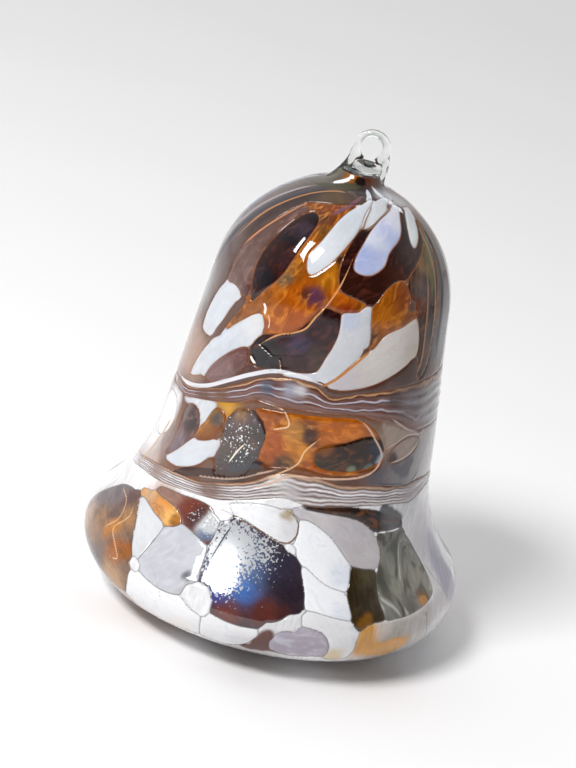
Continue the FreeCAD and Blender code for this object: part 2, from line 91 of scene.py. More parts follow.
# Chips of coloured glass by their corners, in the order they were laid: a later chip lies
# over an earlier one.
UPPER_CHIPS = {
    "amber_shoulder": [
        (-46, 99), (-36, 110), (-24, 119), (-40, 129), (-12, 132), (6, 132), (10, 124), (16, 112),
        (2, 110), (-10, 104), (-26, 102)],
    "umber_streaks_right": [
        (54, 97.5), (50, 106), (46, 112), (41, 117), (52, 122), (66, 128), (76, 128), (66, 120),
        (61, 112), (61, 102)],
    "mauve_shoulder": [(-56, 108), (-58, 116), (-52, 122), (-44, 128), (-33, 128), (-38, 118), (-41, 108)],
    "oxblood_shoulder": [
        (-38, 107), (-43, 115), (-40, 122), (-34, 127), (-26, 128.3), (-20.5, 126), (-23, 120),
        (-26, 114), (-32, 110)],
    "oxblood_flame": [
        (3, 114.5), (1, 119.5), (6, 125.5), (14, 128), (34, 131.5), (62, 133.5), (74, 129.5), (60, 124),
        (40, 118.5), (31, 117), (21, 112.7), (11, 113.2)],
    "white_flame_left": [
        (-13, 115.7), (-17, 119), (-13, 123), (-7, 128.5), (2, 132), (16, 134.5), (24, 135), (13, 131),
        (8.5, 127), (3, 123.5), (-5, 118.5)],
    "white_flame_middle": [
        (12.5, 127.5), (12, 129.5), (17, 132.5), (30, 135.3), (48, 136.5), (60, 136), (44, 134.5),
        (31, 131.8), (21, 129)],
    "lilac_flame": [
        (9, 118.5), (8.5, 121), (12, 124), (18, 127.5), (30, 130.8), (50, 133.5), (60, 133.5),
        (50, 130.5), (41, 126.5), (30, 123.2), (25, 120), (17, 118)],
    "white_flame_narrow": [
        (51, 124), (49, 125.5), (53, 128.5), (62, 131.3), (76, 133), (84, 132), (70, 129), (59, 125.8)],
    "white_left": [
        (-66, 96.5), (-66, 101), (-61, 106.2), (-53, 108), (-45.5, 107), (-49, 103), (-53, 99),
        (-58, 96)],
    "white_diagonal": [
        (-31, 105.3), (-26.8, 103), (-29, 100), (-38, 96), (-46, 91.5), (-53, 88.5), (-62, 87), (-58, 93),
        (-49, 98), (-40, 102.3)],
    "mauve_left": [
        (-50.5, 89.5), (-46, 93), (-39, 96.3), (-33, 98), (-30.5, 96), (-33, 92.5), (-41, 89.2),
        (-48, 88.3)],
    "oxblood_heart": [
        (2, 110.3), (6, 109), (7, 106), (4.5, 101), (2, 98), (-8, 96.7), (-20, 95.4), (-28, 95.6),
        (-30.3, 98), (-27, 101.5), (-14, 104), (-7.5, 107), (-3, 110)],
    "amber_right": [
        (21, 109), (22, 112.5), (28, 116), (36, 117.3), (40, 115), (41, 111.5), (46, 111), (40, 109),
        (30, 107), (24.5, 104), (22.5, 106)],
    "white_heart": [
        (7.5, 109.3), (14, 110.5), (19, 111.8), (21, 109), (21.7, 105.5), (16, 101), (10, 97.3),
        (3, 95.9), (-12, 95.9), (0, 97.3), (4, 101), (7, 105)],
    "cream_right": [
        (23.5, 103), (29, 106.5), (37, 108.2), (45, 109.8), (49, 107.5), (50, 104), (46, 101.3),
        (36, 98.5), (26, 96.4), (14, 95), (8, 95.5), (13, 98.7)],
}
MIDDLE_CHIPS = {
    "pearl_edge_left": [(-84, 74), (-80, 79.5), (-68, 80.3), (-63, 77), (-67, 72.5), (-77, 70.5)],
    "mauve_middle": [
        (-56, 81), (-50, 82.2), (-46, 80.5), (-46.5, 77), (-50, 74), (-57, 70.3), (-60, 70.5), (-57, 75)],
    "white_middle": [
        (-31, 78.3), (-38, 76.9), (-46, 75.5), (-52, 72.5), (-58, 69), (-50, 69), (-40, 71.5), (-34, 75)],
    "amber_middle_left": [(-39, 84), (-34, 84), (-34, 81), (-37, 78.2), (-43.5, 76.5), (-42.5, 80)],
    "amber_middle": [
        (-13, 83.5), (-19, 87.3), (-8, 88.5), (8, 89.3), (22, 89.7), (31, 88), (37, 83), (36, 79.3),
        (20, 78.3), (4, 78.5), (-9, 77.3), (-13, 79)],
    "smoke_middle": [
        (-31, 82), (-29, 85.6), (-23, 86.8), (-16, 85.5), (-13.5, 82.5), (-15, 78), (-18, 74),
        (-25, 72.3), (-31, 73)],
    "umber_oblong": [
        (8.5, 80), (9.5, 83.3), (20, 84.8), (29, 86.3), (35, 85.8), (38.6, 83), (36, 80.4), (26, 79),
        (14, 78.8)],
    "taupe_middle_right": [(42, 82.5), (47, 84.8), (55, 85.6), (62, 84.3), (58, 82), (49, 80.6), (43, 80.6)],
}
FLARE_CHIPS = {
    "smoke_lobe_left": [
        (-66, 59), (-59, 58), (-50, 52.5), (-44, 48), (-42.5, 43), (-50, 39), (-66, 38), (-80, 42),
        (-83, 50), (-76, 56.5)],
    "pale_wedge": [(-57, 59), (-48, 58.3), (-41.5, 57), (-41.5, 50.5), (-45, 51.3), (-51, 55.5)],
    "lilac_round": [
        (-39, 57.8), (-33, 59), (-26, 58.6), (-21.5, 56.5), (-21, 51), (-26, 47.2), (-36, 47.8),
        (-40, 51)],
    "white_bottom_left": [
        (-40, 46.2), (-30, 45.8), (-20, 45.8), (-16, 43), (-18, 39), (-30, 37.5), (-40, 38.5),
        (-41.5, 43)],
    "white_bottom_middle": [(-13, 44.8), (-4, 44.6), (1, 44), (-2, 40.5), (-8, 38.5), (-14, 39.5)],
    "amber_teardrop": [
        (-60, 60.7), (-51, 61.8), (-43, 61.8), (-38, 60.8), (-36.4, 59.3), (-38.5, 58.3), (-46, 59),
        (-54, 59.9)],
    "brown_lustre": [
        (-52, 63), (-44, 64.5), (-33, 65.6), (-26, 65.3), (-22.5, 63), (-22, 60), (-24, 59), (-33, 60.8),
        (-40, 62.5)],
    "silver_lustre": [
        (-20.5, 58), (-19.5, 63), (-14, 65), (-7, 64.2), (1, 62.3), (7, 60.5), (11, 57.5), (12.7, 53),
        (10, 49.8), (2, 46.7), (-5, 45.5), (-11, 46.3), (-15, 50), (-19.5, 53)],
    "pearl_oval": [
        (-20, 67.5), (-12, 69), (-4, 69.6), (3, 69), (7, 66.7), (6.8, 64.3), (1, 63.8), (-6, 65),
        (-14, 66.3)],
    "umber_crescent": [
        (10, 70.8), (22, 71.3), (36, 71.3), (48, 69.5), (55, 67.5), (48, 66.8), (41, 67.3), (33, 69.5),
        (20, 70.3)],
    "lilac_teardrop": [
        (6, 69.8), (18, 69.7), (28, 69), (37, 66.3), (41.7, 62.5), (39, 60), (33, 60), (28, 62.3),
        (22, 66), (14, 68.2)],
    "white_oval_upper": [
        (8.5, 64), (9, 67.2), (13, 67.4), (20, 64.8), (26, 61.2), (28.3, 58), (26, 55.8), (20, 56.7),
        (12, 60.5)],
    "white_oval_lower": [
        (12.5, 58.4), (19, 55.8), (25, 54.3), (26.8, 51.5), (26.5, 49.8), (19, 50.6), (14.5, 51.8),
        (13.5, 54.5)],
    "olive_window": [
        (29, 55.5), (30, 58.8), (34, 59), (38.5, 58), (38, 53), (38.5, 49.5), (33, 48), (29.5, 49)],
    "clear_window": [
        (43, 65.5), (50, 65.5), (57, 65), (62, 61.5), (66, 56), (65, 51.5), (56, 49.5), (45, 48.7),
        (41, 50), (40.5, 56), (44, 61)],
    "lavender_bottom": [(6, 44.3), (10, 46), (16, 46.3), (20.5, 44.5), (21, 41), (13, 39.5), (6, 41)],
    "white_bottom_right": [
        (16, 50), (22, 49.3), (28, 48), (30.5, 44.5), (29.5, 39.5), (24, 39), (23.5, 44), (20, 47.5),
        (14, 48.5)],
}
# The far side carries further chips of the same kinds: a front chip's outline turned round
# the axis, under the far chip's own name.
BACK_TURN = 180
BACK_CHIPS = {
    "upper": {
        "amber_back": "amber_shoulder",
        "oxblood_back": "oxblood_heart",
        "white_back": "white_heart",
        "cream_back": "cream_right"},
    "middle": {"amber_middle_back": "amber_middle", "smoke_middle_back": "smoke_middle"},
    "flare": {
        "lilac_back": "lilac_teardrop",
        "white_oval_back": "white_oval_upper",
        "silver_lustre_back": "silver_lustre",
        "clear_window_back": "clear_window"},
}

# Edges of the two bands of stretched threads, across the front from left to right. The far
# side mirrors them.
BANDS = {
    "upper_thread_band": {
        "top": [
            (-90, 83), (-60, 84.3), (-40, 88), (-30, 91), (-20, 94), (-8, 95.4), (3, 95), (10, 93),
            (20, 94.5), (40, 96), (60, 97), (90, 97.5)],
        "bottom": [
            (-90, 81.9), (-60, 82.3), (-45, 84.5), (-35, 86), (-27, 87.5), (-22, 89.3), (-10, 89.3),
            (3, 89.8), (25, 90.5), (40, 89), (55, 86.5), (90, 86)]},
    "lower_thread_band": {
        "top": [
            (-90, 62), (-70, 65.5), (-50, 68), (-35, 69), (-25, 71), (-15, 73), (-8, 75.5), (0, 77),
            (10, 77.3), (20, 76), (40, 76), (55, 75), (65, 75.5), (90, 74)],
        "bottom": [
            (-90, 60), (-70, 63), (-55, 64.3), (-40, 66), (-25, 67.3), (-15, 69.2), (-8, 70.5), (0, 72),
            (10, 71), (20, 71.5), (35, 72), (50, 71.7), (60, 71), (75, 72.5), (90, 72)]},
}

# Colours of glass, as a painter would mix them: red, green and blue up to 255.
WHITE = (214, 217, 222)
MILK = (236, 236, 238)
LILAC = (186, 192, 218)
CREAM = (205, 198, 193)
AMBER = (156, 82, 14)
OXBLOOD = (64, 26, 20)
MAUVE = (112, 82, 75)
UMBER = (54, 34, 26)
SMOKE = (86, 78, 73)
TAUPE = (148, 130, 120)
BLUE_BLACK = (30, 34, 44)
SILVER = (236, 239, 242)
PEARL = (224, 225, 228)

SEAM_BROWN = (156, 92, 46)
SEAM_GREY = (104, 101, 101)

# Each kind of glass: the record's slot and its own colour.
KINDS = {
    "white": ("white_glass", WHITE), "cream": ("cream_glass", CREAM),
    "pale": ("lilac_glass", (206, 207, 210)), "pearl": ("lilac_glass", PEARL),
    "lilac": ("lilac_glass", LILAC), "lavender": ("lilac_glass", (172, 164, 176)),
    "amber": ("amber_glass", AMBER), "oxblood": ("oxblood_glass", OXBLOOD),
    "mauve": ("mauve_glass", MAUVE), "taupe": ("mauve_glass", TAUPE), "umber": ("umber_glass", UMBER),
    "smoke": ("smoke_glass", SMOKE), "olive": ("smoke_glass", (54, 40, 16)),
    # Clear glass takes a grey own colour: painted see-through, standing for what shows through it.
    "clear": ("smoke_glass", (122, 120, 112)), "silver": ("lustre_glass", (70, 52, 58)),
    "brown": ("lustre_glass", (112, 62, 46)),
}

# Glass whose own colour isn't its kind's.
BASES = {
    "upper_ground_glass": (104, 76, 66), "middle_ground_glass": (120, 82, 62),
    "flare_ground_glass": (232, 231, 233), "smoke_middle": (72, 56, 54),
    "upper_thread_band": (118, 92, 84), "lower_thread_band": (150, 130, 124),
    "smoke_lobe_left": (128, 100, 82), "white_bottom_left": MILK, "white_bottom_middle": (234, 234, 236),
    "white_bottom_right": (230, 230, 232), "white_oval_upper": (244, 245, 248),
    "white_oval_lower": (242, 243, 246), "lilac_teardrop": (194, 189, 193),
    "lilac_round": (194, 195, 201),
}

# Where a glass is tinted, and where light and shade are painted on it: (degrees, millimetres up the wall,
# size of the spot, colour). Beyond 90 degrees a spot is on the far side. Pale spots at 85 to 92 degrees
# either side lie on the bell's edges as the camera sees them, and are partly pale glass and partly painted
# reflection of the pale room in the grazing glass.
TONES_AND_PAINTED_LIGHT = {
    "upper_ground_glass": [
        (-92, 132, 5, (128, 122, 120)), (-92, 105, 6, (190, 188, 190)), (-73, 112, 4, (112, 98, 98)),
        (-66, 122, 4, (104, 86, 80)), (-60, 128, 2.2, (80, 88, 98)), (-54, 131, 3, (72, 54, 48)),
        (-48, 133, 3, (66, 58, 54)), (-66, 133, 4, (96, 82, 70)), (-80, 127, 4, (132, 116, 112)),
        (-68, 127, 3, (104, 88, 84)), (-38, 135, 3, (70, 66, 50)), (-24, 134, 3, (98, 76, 48)),
        (0, 134.5, 3, (98, 68, 48)), (10, 136.5, 2.5, (50, 36, 42)), (30, 138, 2.5, (40, 38, 40)),
        (-30, 137.6, 2.4, (60, 58, 44)), (-62, 138, 2.6, (104, 102, 86)), (5, 139.6, 2.4, (20, 16, 16)),
        (0, 138.2, 2.6, (40, 36, 38)), (22, 138.6, 2.4, (48, 38, 36)), (-90, 139, 3, (120, 118, 104)),
        (-17, 140.3, 1.2, (196, 116, 18)), (32, 139.9, 1.2, (128, 66, 34)),
        (62, 135.6, 2, (216, 217, 222)), (42, 136.8, 1.2, (208, 210, 216)), (80, 134, 2, (200, 200, 203)),
        (-85, 118, 4, (146, 140, 142)), (80, 126, 4, (112, 98, 82)), (70, 119, 3, (112, 92, 62)),
        (62, 124, 2.5, (92, 70, 42)), (58, 112, 2.5, (160, 118, 88)), (53, 107, 2, (92, 54, 34)),
        (56, 99, 2.5, (92, 64, 50)), (64, 104, 3, (116, 114, 116)), (75, 106, 4, (128, 126, 130)),
        (92, 110, 6, (190, 190, 194)), (50, 120, 2.5, (58, 30, 22)), (72, 114, 3, (104, 100, 106)),
        (-64, 90, 4, (198, 160, 140)), (-77, 90, 4, (206, 178, 162)), (-52, 102, 2, (108, 72, 52)),
        (-34, 94, 2, (92, 60, 56)), (45, 99, 2, (76, 46, 38)), (30, 97, 2, (88, 52, 42)),
        (115, 112, 9, (118, 92, 84)), (150, 124, 8, (168, 92, 28)), (150, 100, 7, (96, 60, 50)),
        (180, 132, 6, (96, 76, 66)), (205, 118, 7, (92, 62, 54)), (235, 106, 9, (142, 124, 120)),
        (195, 97, 6, (150, 90, 40))],
    "middle_ground_glass": [
        (-82, 70, 5, (236, 234, 233)), (-71, 76, 3, (216, 190, 174)), (-62, 72, 2.5, (146, 124, 120)),
        (-68, 66, 2, (182, 160, 150)), (-42, 70, 3, (108, 68, 50)), (-35, 76, 2.5, (124, 76, 40)),
        (-34, 86.5, 2, (214, 156, 44)), (-28, 71, 3, (104, 88, 82)), (-20, 73, 2.5, (42, 46, 54)),
        (-11, 76, 2.5, (98, 52, 30)), (8, 77, 2.5, (128, 70, 36)), (25, 77, 2, (84, 48, 34)),
        (38, 78, 2, (80, 78, 92)), (48, 78, 3, (126, 124, 130)), (60, 80, 4, (158, 156, 160)),
        (75, 78, 5, (204, 202, 205)), (44, 87, 3, (172, 152, 136)), (58, 89, 3, (124, 116, 118)),
        (90, 80, 8, (236, 236, 238)), (125, 80, 9, (142, 120, 110)), (180, 78, 8, (112, 72, 52)),
        (235, 80, 9, (172, 150, 138)), (160, 84, 5, (176, 98, 24))],
    # flare_ground_glass: the near-white spots at -22 to -14 degrees, 63 to 69.4 mm up, are painted reflection
    # of the window below the lower band. The spots 30 to 34 mm up, at 0, 45, -45 and 180 degrees, lie on the
    # underside just over the floor and are painted shade there; the paler, warmer one at -45 degrees is
    # painted light thrown up from the floor.
    "flare_ground_glass": [
        (-86, 55, 6, (214, 212, 212)), (-50, 62, 3, (190, 160, 142)), (-22, 63, 3, (248, 248, 250)),
        (-14, 69.4, 2.4, (250, 250, 251)), (-17, 66, 2.4, (246, 246, 248)), (-30, 44, 5, (216, 215, 215)),
        (2, 43, 4, (208, 207, 208)), (12, 48, 4, (216, 215, 217)), (34, 45, 3, (196, 150, 96)),
        (45, 44, 4, (150, 138, 122)), (56, 46, 4, (166, 158, 154)), (70, 50, 5, (198, 192, 192)),
        (68, 62, 4, (194, 190, 195)), (80, 60, 5, (184, 181, 189)), (60, 70, 3, (198, 196, 200)),
        (92, 48, 8, (222, 220, 220)), (0, 34, 5, (112, 94, 82)), (-45, 34, 6, (176, 152, 132)),
        (45, 34, 6, (140, 120, 104)), (30, 57, 2, (214, 214, 218)), (125, 52, 9, (192, 184, 180)),
        (180, 50, 8, (208, 206, 208)), (235, 52, 9, (170, 148, 136)), (150, 62, 6, (128, 92, 74)),
        (180, 30, 14, (132, 112, 98)), (210, 62, 5, (186, 120, 50))],
    "upper_thread_band": [
        (-18, 92, 1.6, (88, 104, 128)), (-8, 93, 1.6, (186, 190, 208)), (-3, 93.4, 1, (236, 234, 238)),
        (-48, 85, 2.5, (120, 76, 54)), (-38, 87, 2, (136, 88, 56)), (50, 93, 4, (122, 112, 116)),
        (68, 91, 5, (176, 174, 178)), (88, 90, 8, (232, 231, 233)), (-75, 83, 4, (186, 162, 150)),
        (-90, 83, 5, (234, 232, 232)), (40, 94, 1.6, (70, 38, 32))],
    # lower_thread_band: the near-white spot at -4 degrees, 75 mm up, is a painted highlight.
    "lower_thread_band": [
        (-4, 75, 1.6, (246, 242, 240)), (3, 73, 2, (214, 208, 210)), (-88, 61, 5, (226, 224, 226)),
        (88, 73, 7, (226, 225, 228)), (-60, 66, 3, (146, 124, 116)), (60, 73, 3, (176, 170, 174)),
        (-30, 68.5, 3, (124, 96, 86))],
    "amber_shoulder": [
        (-36, 130, 3, (146, 84, 40)), (-18, 130.5, 2.5, (150, 72, 24)), (-12, 126, 2.5, (158, 80, 22)),
        (-3, 131, 2.5, (128, 50, 20)), (-20, 121, 2, (196, 108, 22)), (-27, 115, 2, (158, 112, 56)),
        (-20, 108, 5, (196, 96, 8)), (-12, 109, 3, (190, 84, 10)), (-3, 116, 1.8, (206, 126, 20)),
        (3, 120, 0.9, (48, 38, 40)), (6, 117, 0.9, (40, 26, 34)), (-7, 111.4, 1.2, (70, 50, 92)),
        (-11, 111, 1, (84, 48, 40)), (7, 111, 1.2, (150, 44, 14)), (4, 113, 1.6, (214, 108, 16)),
        (-32, 108, 3, (168, 104, 40)), (-42, 101, 2, (134, 86, 38)), (-25, 113, 1, (96, 96, 78)),
        (-18, 127, 1.2, (62, 44, 40)), (-15, 124, 1.2, (126, 84, 36))],
    "mauve_shoulder": [
        (-52, 112, 3, (116, 92, 86)), (-44, 119, 3, (102, 76, 68)), (-36, 124, 3, (90, 58, 50)),
        (-40, 109, 1.6, (76, 40, 38))],
    "oxblood_shoulder": [
        (-31, 121.5, 1.2, BLUE_BLACK), (-37, 112.5, 1.3, BLUE_BLACK), (-26, 123, 1.5, (92, 72, 88)),
        (-33, 117, 3, (72, 32, 28)), (-27, 117, 1.2, (92, 56, 58)), (-24, 127, 1.4, (46, 30, 36))],
    "oxblood_flame": [
        (14, 115, 3, (82, 36, 22)), (30, 118, 1.6, (112, 50, 20)), (55, 129, 3, (48, 27, 22)),
        (25, 119, 2.5, (74, 34, 26)), (46, 122, 2, (92, 62, 56))],
    "umber_streaks_right": [
        (50, 115, 2, (112, 92, 86)), (56, 120, 2, (150, 120, 80)), (62, 122, 1.5, (110, 96, 48)),
        (70, 127, 2, (132, 108, 76)), (55, 103, 2, (94, 56, 36)), (47, 112, 1.5, (128, 62, 30)),
        (63, 117, 1.5, (52, 40, 44))],
    "white_flame_left": [(-8, 120, 2.5, (228, 232, 238)), (5, 129, 3, (206, 212, 220))],
    "white_flame_middle": [(40, 134, 3, (208, 210, 216))],
    "white_flame_narrow": [(56, 127, 2, (224, 234, 234)), (75, 131, 3, (214, 214, 214))],
    "lilac_flame": [
        (14, 121.5, 2.2, (158, 170, 212)), (29, 126.5, 2, (172, 180, 214)), (45, 131, 3, (208, 207, 216)),
        (20, 126, 2, (204, 208, 220))],
    "white_left": [(-60, 102, 2.5, (214, 220, 226))],
    "white_diagonal": [(-31, 103, 1.6, (226, 226, 228)), (-45, 96, 3, (206, 212, 222))],
    "mauve_left": [(-45, 91, 2.4, (138, 104, 104)), (-36, 96, 2, (104, 60, 56))],
    "oxblood_heart": [
        (-23, 98, 1.8, BLUE_BLACK), (-25, 101, 1.3, (38, 42, 50)), (-10, 101.6, 1.7, (98, 88, 126)),
        (0, 100, 1.5, (108, 84, 78)), (-1, 106, 1.6, (88, 56, 66)), (-16, 103, 1.5, (84, 44, 50)),
        (-8, 98.5, 2, (82, 38, 32))],
    "white_heart": [
        (12, 106, 3, (216, 217, 222)), (10, 109, 1.2, (196, 204, 226)), (-6, 96.3, 1.2, (208, 214, 226))],
    "amber_right": [
        (38, 113.5, 1.8, (150, 66, 14)), (30, 111, 3, (188, 102, 10)), (22, 106.6, 0.8, (66, 46, 24)),
        (42, 110.5, 1.6, (160, 90, 40))],
    "cream_right": [
        (30, 104, 4, (216, 211, 207)), (12, 96, 3, (194, 188, 196)), (46, 104, 2, (196, 184, 174))],
    "pearl_edge_left": [(-75, 75, 4, (240, 240, 241))],
    "mauve_middle": [
        (-50, 79, 1.6, (56, 40, 42)), (-54, 73, 1.8, (128, 112, 122)), (-57, 80, 1.5, (120, 108, 104))],
    "white_middle": [(-40, 74, 3, (222, 226, 232)), (-55, 70, 2, (206, 212, 222))],
    "amber_middle_left": [
        (-37, 82, 1, (96, 92, 84)), (-42, 79, 1.2, (178, 112, 44)), (-41, 83, 1.2, (152, 106, 28))],
    "amber_middle": [
        (20, 87, 4, (202, 104, 10)), (-9, 82, 2.5, (168, 80, 16)), (-14, 87.5, 1.8, (154, 78, 24)),
        (-2, 85, 1.5, (190, 128, 50)), (4, 85.3, 1.3, (52, 32, 28)), (-3.4, 79, 1.2, (58, 46, 36)),
        (10, 78.6, 1.4, (170, 82, 16)), (1, 82, 1.5, (200, 124, 30)), (33, 80, 1.4, (120, 66, 28))],
    # smoke_middle: the orange spot at its top, -25 degrees and 85.6 mm up, is a painted glint.
    "smoke_middle": [
        (-20, 76, 1.8, (46, 50, 54)), (-24, 84, 2.2, (98, 74, 72)), (-28, 77, 1.5, (88, 74, 66)),
        (-17, 83, 1.2, (52, 38, 38)), (-19, 80, 1, (84, 64, 52)), (-25, 85.6, 1, (140, 98, 54))],
    # umber_oblong: the small pale blue spot at its right end, 38 degrees, is a painted highlight.
    "umber_oblong": [
        (35, 84, 1.2, (44, 52, 74)), (25, 79.8, 0.5, (146, 152, 128)), (14, 80.4, 1.6, (62, 44, 26)),
        (38, 82.2, 0.6, (196, 214, 236)), (22, 83, 2.5, (58, 34, 24)), (32, 80.6, 0.5, (110, 118, 110)),
        (28, 82, 1.5, (44, 24, 18)), (12, 83, 1.2, (150, 84, 22))],
    "taupe_middle_right": [(52, 83, 2.4, (156, 138, 128)), (44, 81.2, 0.8, (60, 40, 34))],
    # smoke_lobe_left: its orange and amber spots from -58 to -46 degrees paint light shining through the
    # glass as a glow.
    "smoke_lobe_left": [
        (-78, 53, 4, (118, 112, 118)), (-62, 58, 2, (86, 64, 64)), (-56, 55, 2, (164, 120, 78)),
        (-58, 51, 1.6, (186, 122, 54)), (-50, 47.4, 1.6, (160, 92, 34)), (-46, 49, 1.3, (146, 84, 26)),
        (-66, 49, 2.4, (152, 118, 90)), (-61, 43, 2.4, (92, 88, 90)), (-48, 42, 2.4, (190, 150, 108)),
        (-76, 47, 2.6, (184, 156, 130)), (-88, 47, 3, (232, 230, 228)), (-62, 53, 1.2, (98, 78, 74)),
        (-70, 56, 2.4, (112, 104, 108))],
    "pale_wedge": [(-46, 55, 3, (212, 213, 216))],
    "lilac_round": [
        (-30, 53, 5, (190, 190, 197)), (-24, 56, 2, (204, 206, 212)), (-24, 51.6, 0.6, (110, 112, 116))],
    "white_bottom_left": [(-22, 40, 2, (238, 232, 222))],
    "white_bottom_middle": [(-2, 41, 2, (218, 216, 218))],
    "amber_teardrop": [
        (-46, 60.6, 2.2, (206, 146, 88)), (-41, 60, 1.8, (230, 182, 108)),
        (-37.6, 60, 0.8, (146, 92, 36)), (-56, 60.8, 2, (196, 166, 130))],
    "brown_lustre": [
        (-46, 63.6, 3, (148, 112, 98)), (-36, 63.2, 1.8, (112, 46, 28)), (-30, 62.6, 1.5, (74, 46, 48)),
        (-24, 62, 1.3, SILVER), (-24, 60.4, 0.9, (96, 112, 140))],
    "silver_lustre": [
        (-10, 57, 4, (120, 140, 172)), (-6, 53, 2.2, (58, 112, 190)), (-12, 50.8, 1.6, (62, 72, 140)),
        (4, 58, 3.4, (44, 42, 58)), (9, 54, 3, (34, 26, 38)), (2, 49, 2, (98, 46, 36)),
        (-8, 47.4, 1.8, (112, 60, 50)), (8, 49, 1.6, (70, 34, 30)), (-2, 56, 2, (78, 98, 138))],
    # pearl_oval: the near-white spot at -12 degrees, 67.6 mm up, is a painted reflection of the window.
    "pearl_oval": [
        (-12, 67.6, 4, (247, 248, 250)), (-2, 67.4, 3, (234, 235, 237)), (5, 66, 1.6, (214, 212, 214)),
        (4, 69, 0.8, (170, 150, 120))],
    "umber_crescent": [
        (20, 71, 1.6, (72, 42, 28)), (34, 70.4, 1.2, (36, 24, 20)), (40, 70, 1.2, (34, 38, 52)),
        (50, 68.6, 2, (104, 102, 107))],
    "lilac_teardrop": [
        (30, 65, 4, (190, 184, 187)), (16, 69, 2, (200, 194, 194)), (37, 62, 2, (196, 190, 190))],
    "white_oval_upper": [(25, 58, 1.5, (226, 230, 240))],
    "white_oval_lower": [(25, 50, 1.5, (226, 228, 236))],
    "olive_window": [(33, 54, 2.4, (44, 32, 12)), (33, 48.8, 1, (136, 88, 16)), (36, 58, 1.2, (74, 66, 42))],
    # clear_window is drawn opaque: its greys, dark spots and amber spot paint what shows through the clear
    # glass.
    "clear_window": [
        (50, 63.4, 2.2, (108, 110, 107)), (49, 56, 3, (136, 136, 122)), (61, 55, 2.6, (142, 137, 124)),
        (50, 50.4, 1.6, (98, 92, 88)), (58, 50.6, 1.1, (184, 124, 54)), (43, 57, 1.6, (76, 78, 68))],
    "lavender_bottom": [(12, 43, 3, (168, 160, 174))],
    "white_bottom_right": [(25, 40.6, 1.5, (216, 196, 160))],
}

# How much of its colour each kind of glass keeps above the lower band: the colours are painted darker there.
DEPTHS = {
    "white": 0.84, "cream": 0.96, "amber": 0.66, "amber_middle": 0.85, "oxblood": 0.36, "mauve": 0.8,
    "umber": 0.6, "smoke": 0.75, "upper_ground_glass": 0.74, "middle_ground_glass": 0.84,
    "upper_thread_band": 0.66, "lower_thread_band": 0.74,
}

# Glass laid soft-edged within a ground: (the ground, colour, softness, corners).
VEILS = [
    ("upper_ground_glass", (66, 48, 44), 3,
     [(-62, 118), (-66, 124), (-64, 130), (-52, 134), (-38, 135), (-42, 130), (-50, 124), (-57, 118)]),
    ("middle_ground_glass", WHITE, 0.5,
     [(-60, 82), (-45, 84.8), (-39, 84.3), (-41, 81), (-44, 78), (-45.5, 76.5), (-47, 79), (-48.5, 81.6)]),
    ("middle_ground_glass", (230, 229, 231), 2,
     [(-84, 66), (-72, 70), (-64, 77), (-63, 81), (-72, 82), (-84, 78)]),
    ("middle_ground_glass", (168, 150, 136), 0.5,
     [(35, 89), (42, 88.3), (50, 87), (54, 86), (48, 85), (41, 84), (39, 84.5), (37, 87)]),
    ("middle_ground_glass", (92, 90, 98), 0.8,
     [(44, 79.6), (50, 80), (58, 81.6), (56, 78.6), (51, 77), (48, 78)]),
    ("flare_ground_glass", MILK, 0.4, [(1, 63), (7, 63.3), (9, 61), (9.5, 59.5), (8, 60), (4, 61.8)]),
    ("flare_ground_glass", (96, 62, 56), 0.5,
     [(3.5, 45.5), (8, 42), (18, 40.8), (10, 39.5), (-4, 40.3), (0, 42)]),
    ("flare_ground_glass", (200, 146, 76), 1.4,
     [(31, 48), (36, 48.5), (38, 45), (50, 44), (48, 41), (40, 40), (32, 42)]),
    ("flare_ground_glass", (86, 86, 92), 0.6,
     [(42, 66.6), (48, 66.8), (55, 66.6), (57, 68.6), (52, 70.6), (44, 71.6), (42, 69.5)]),
    ("flare_ground_glass", (168, 164, 178), 2, [(74, 47), (72, 56), (76, 62), (84, 60), (84, 50), (80, 46)]),
]
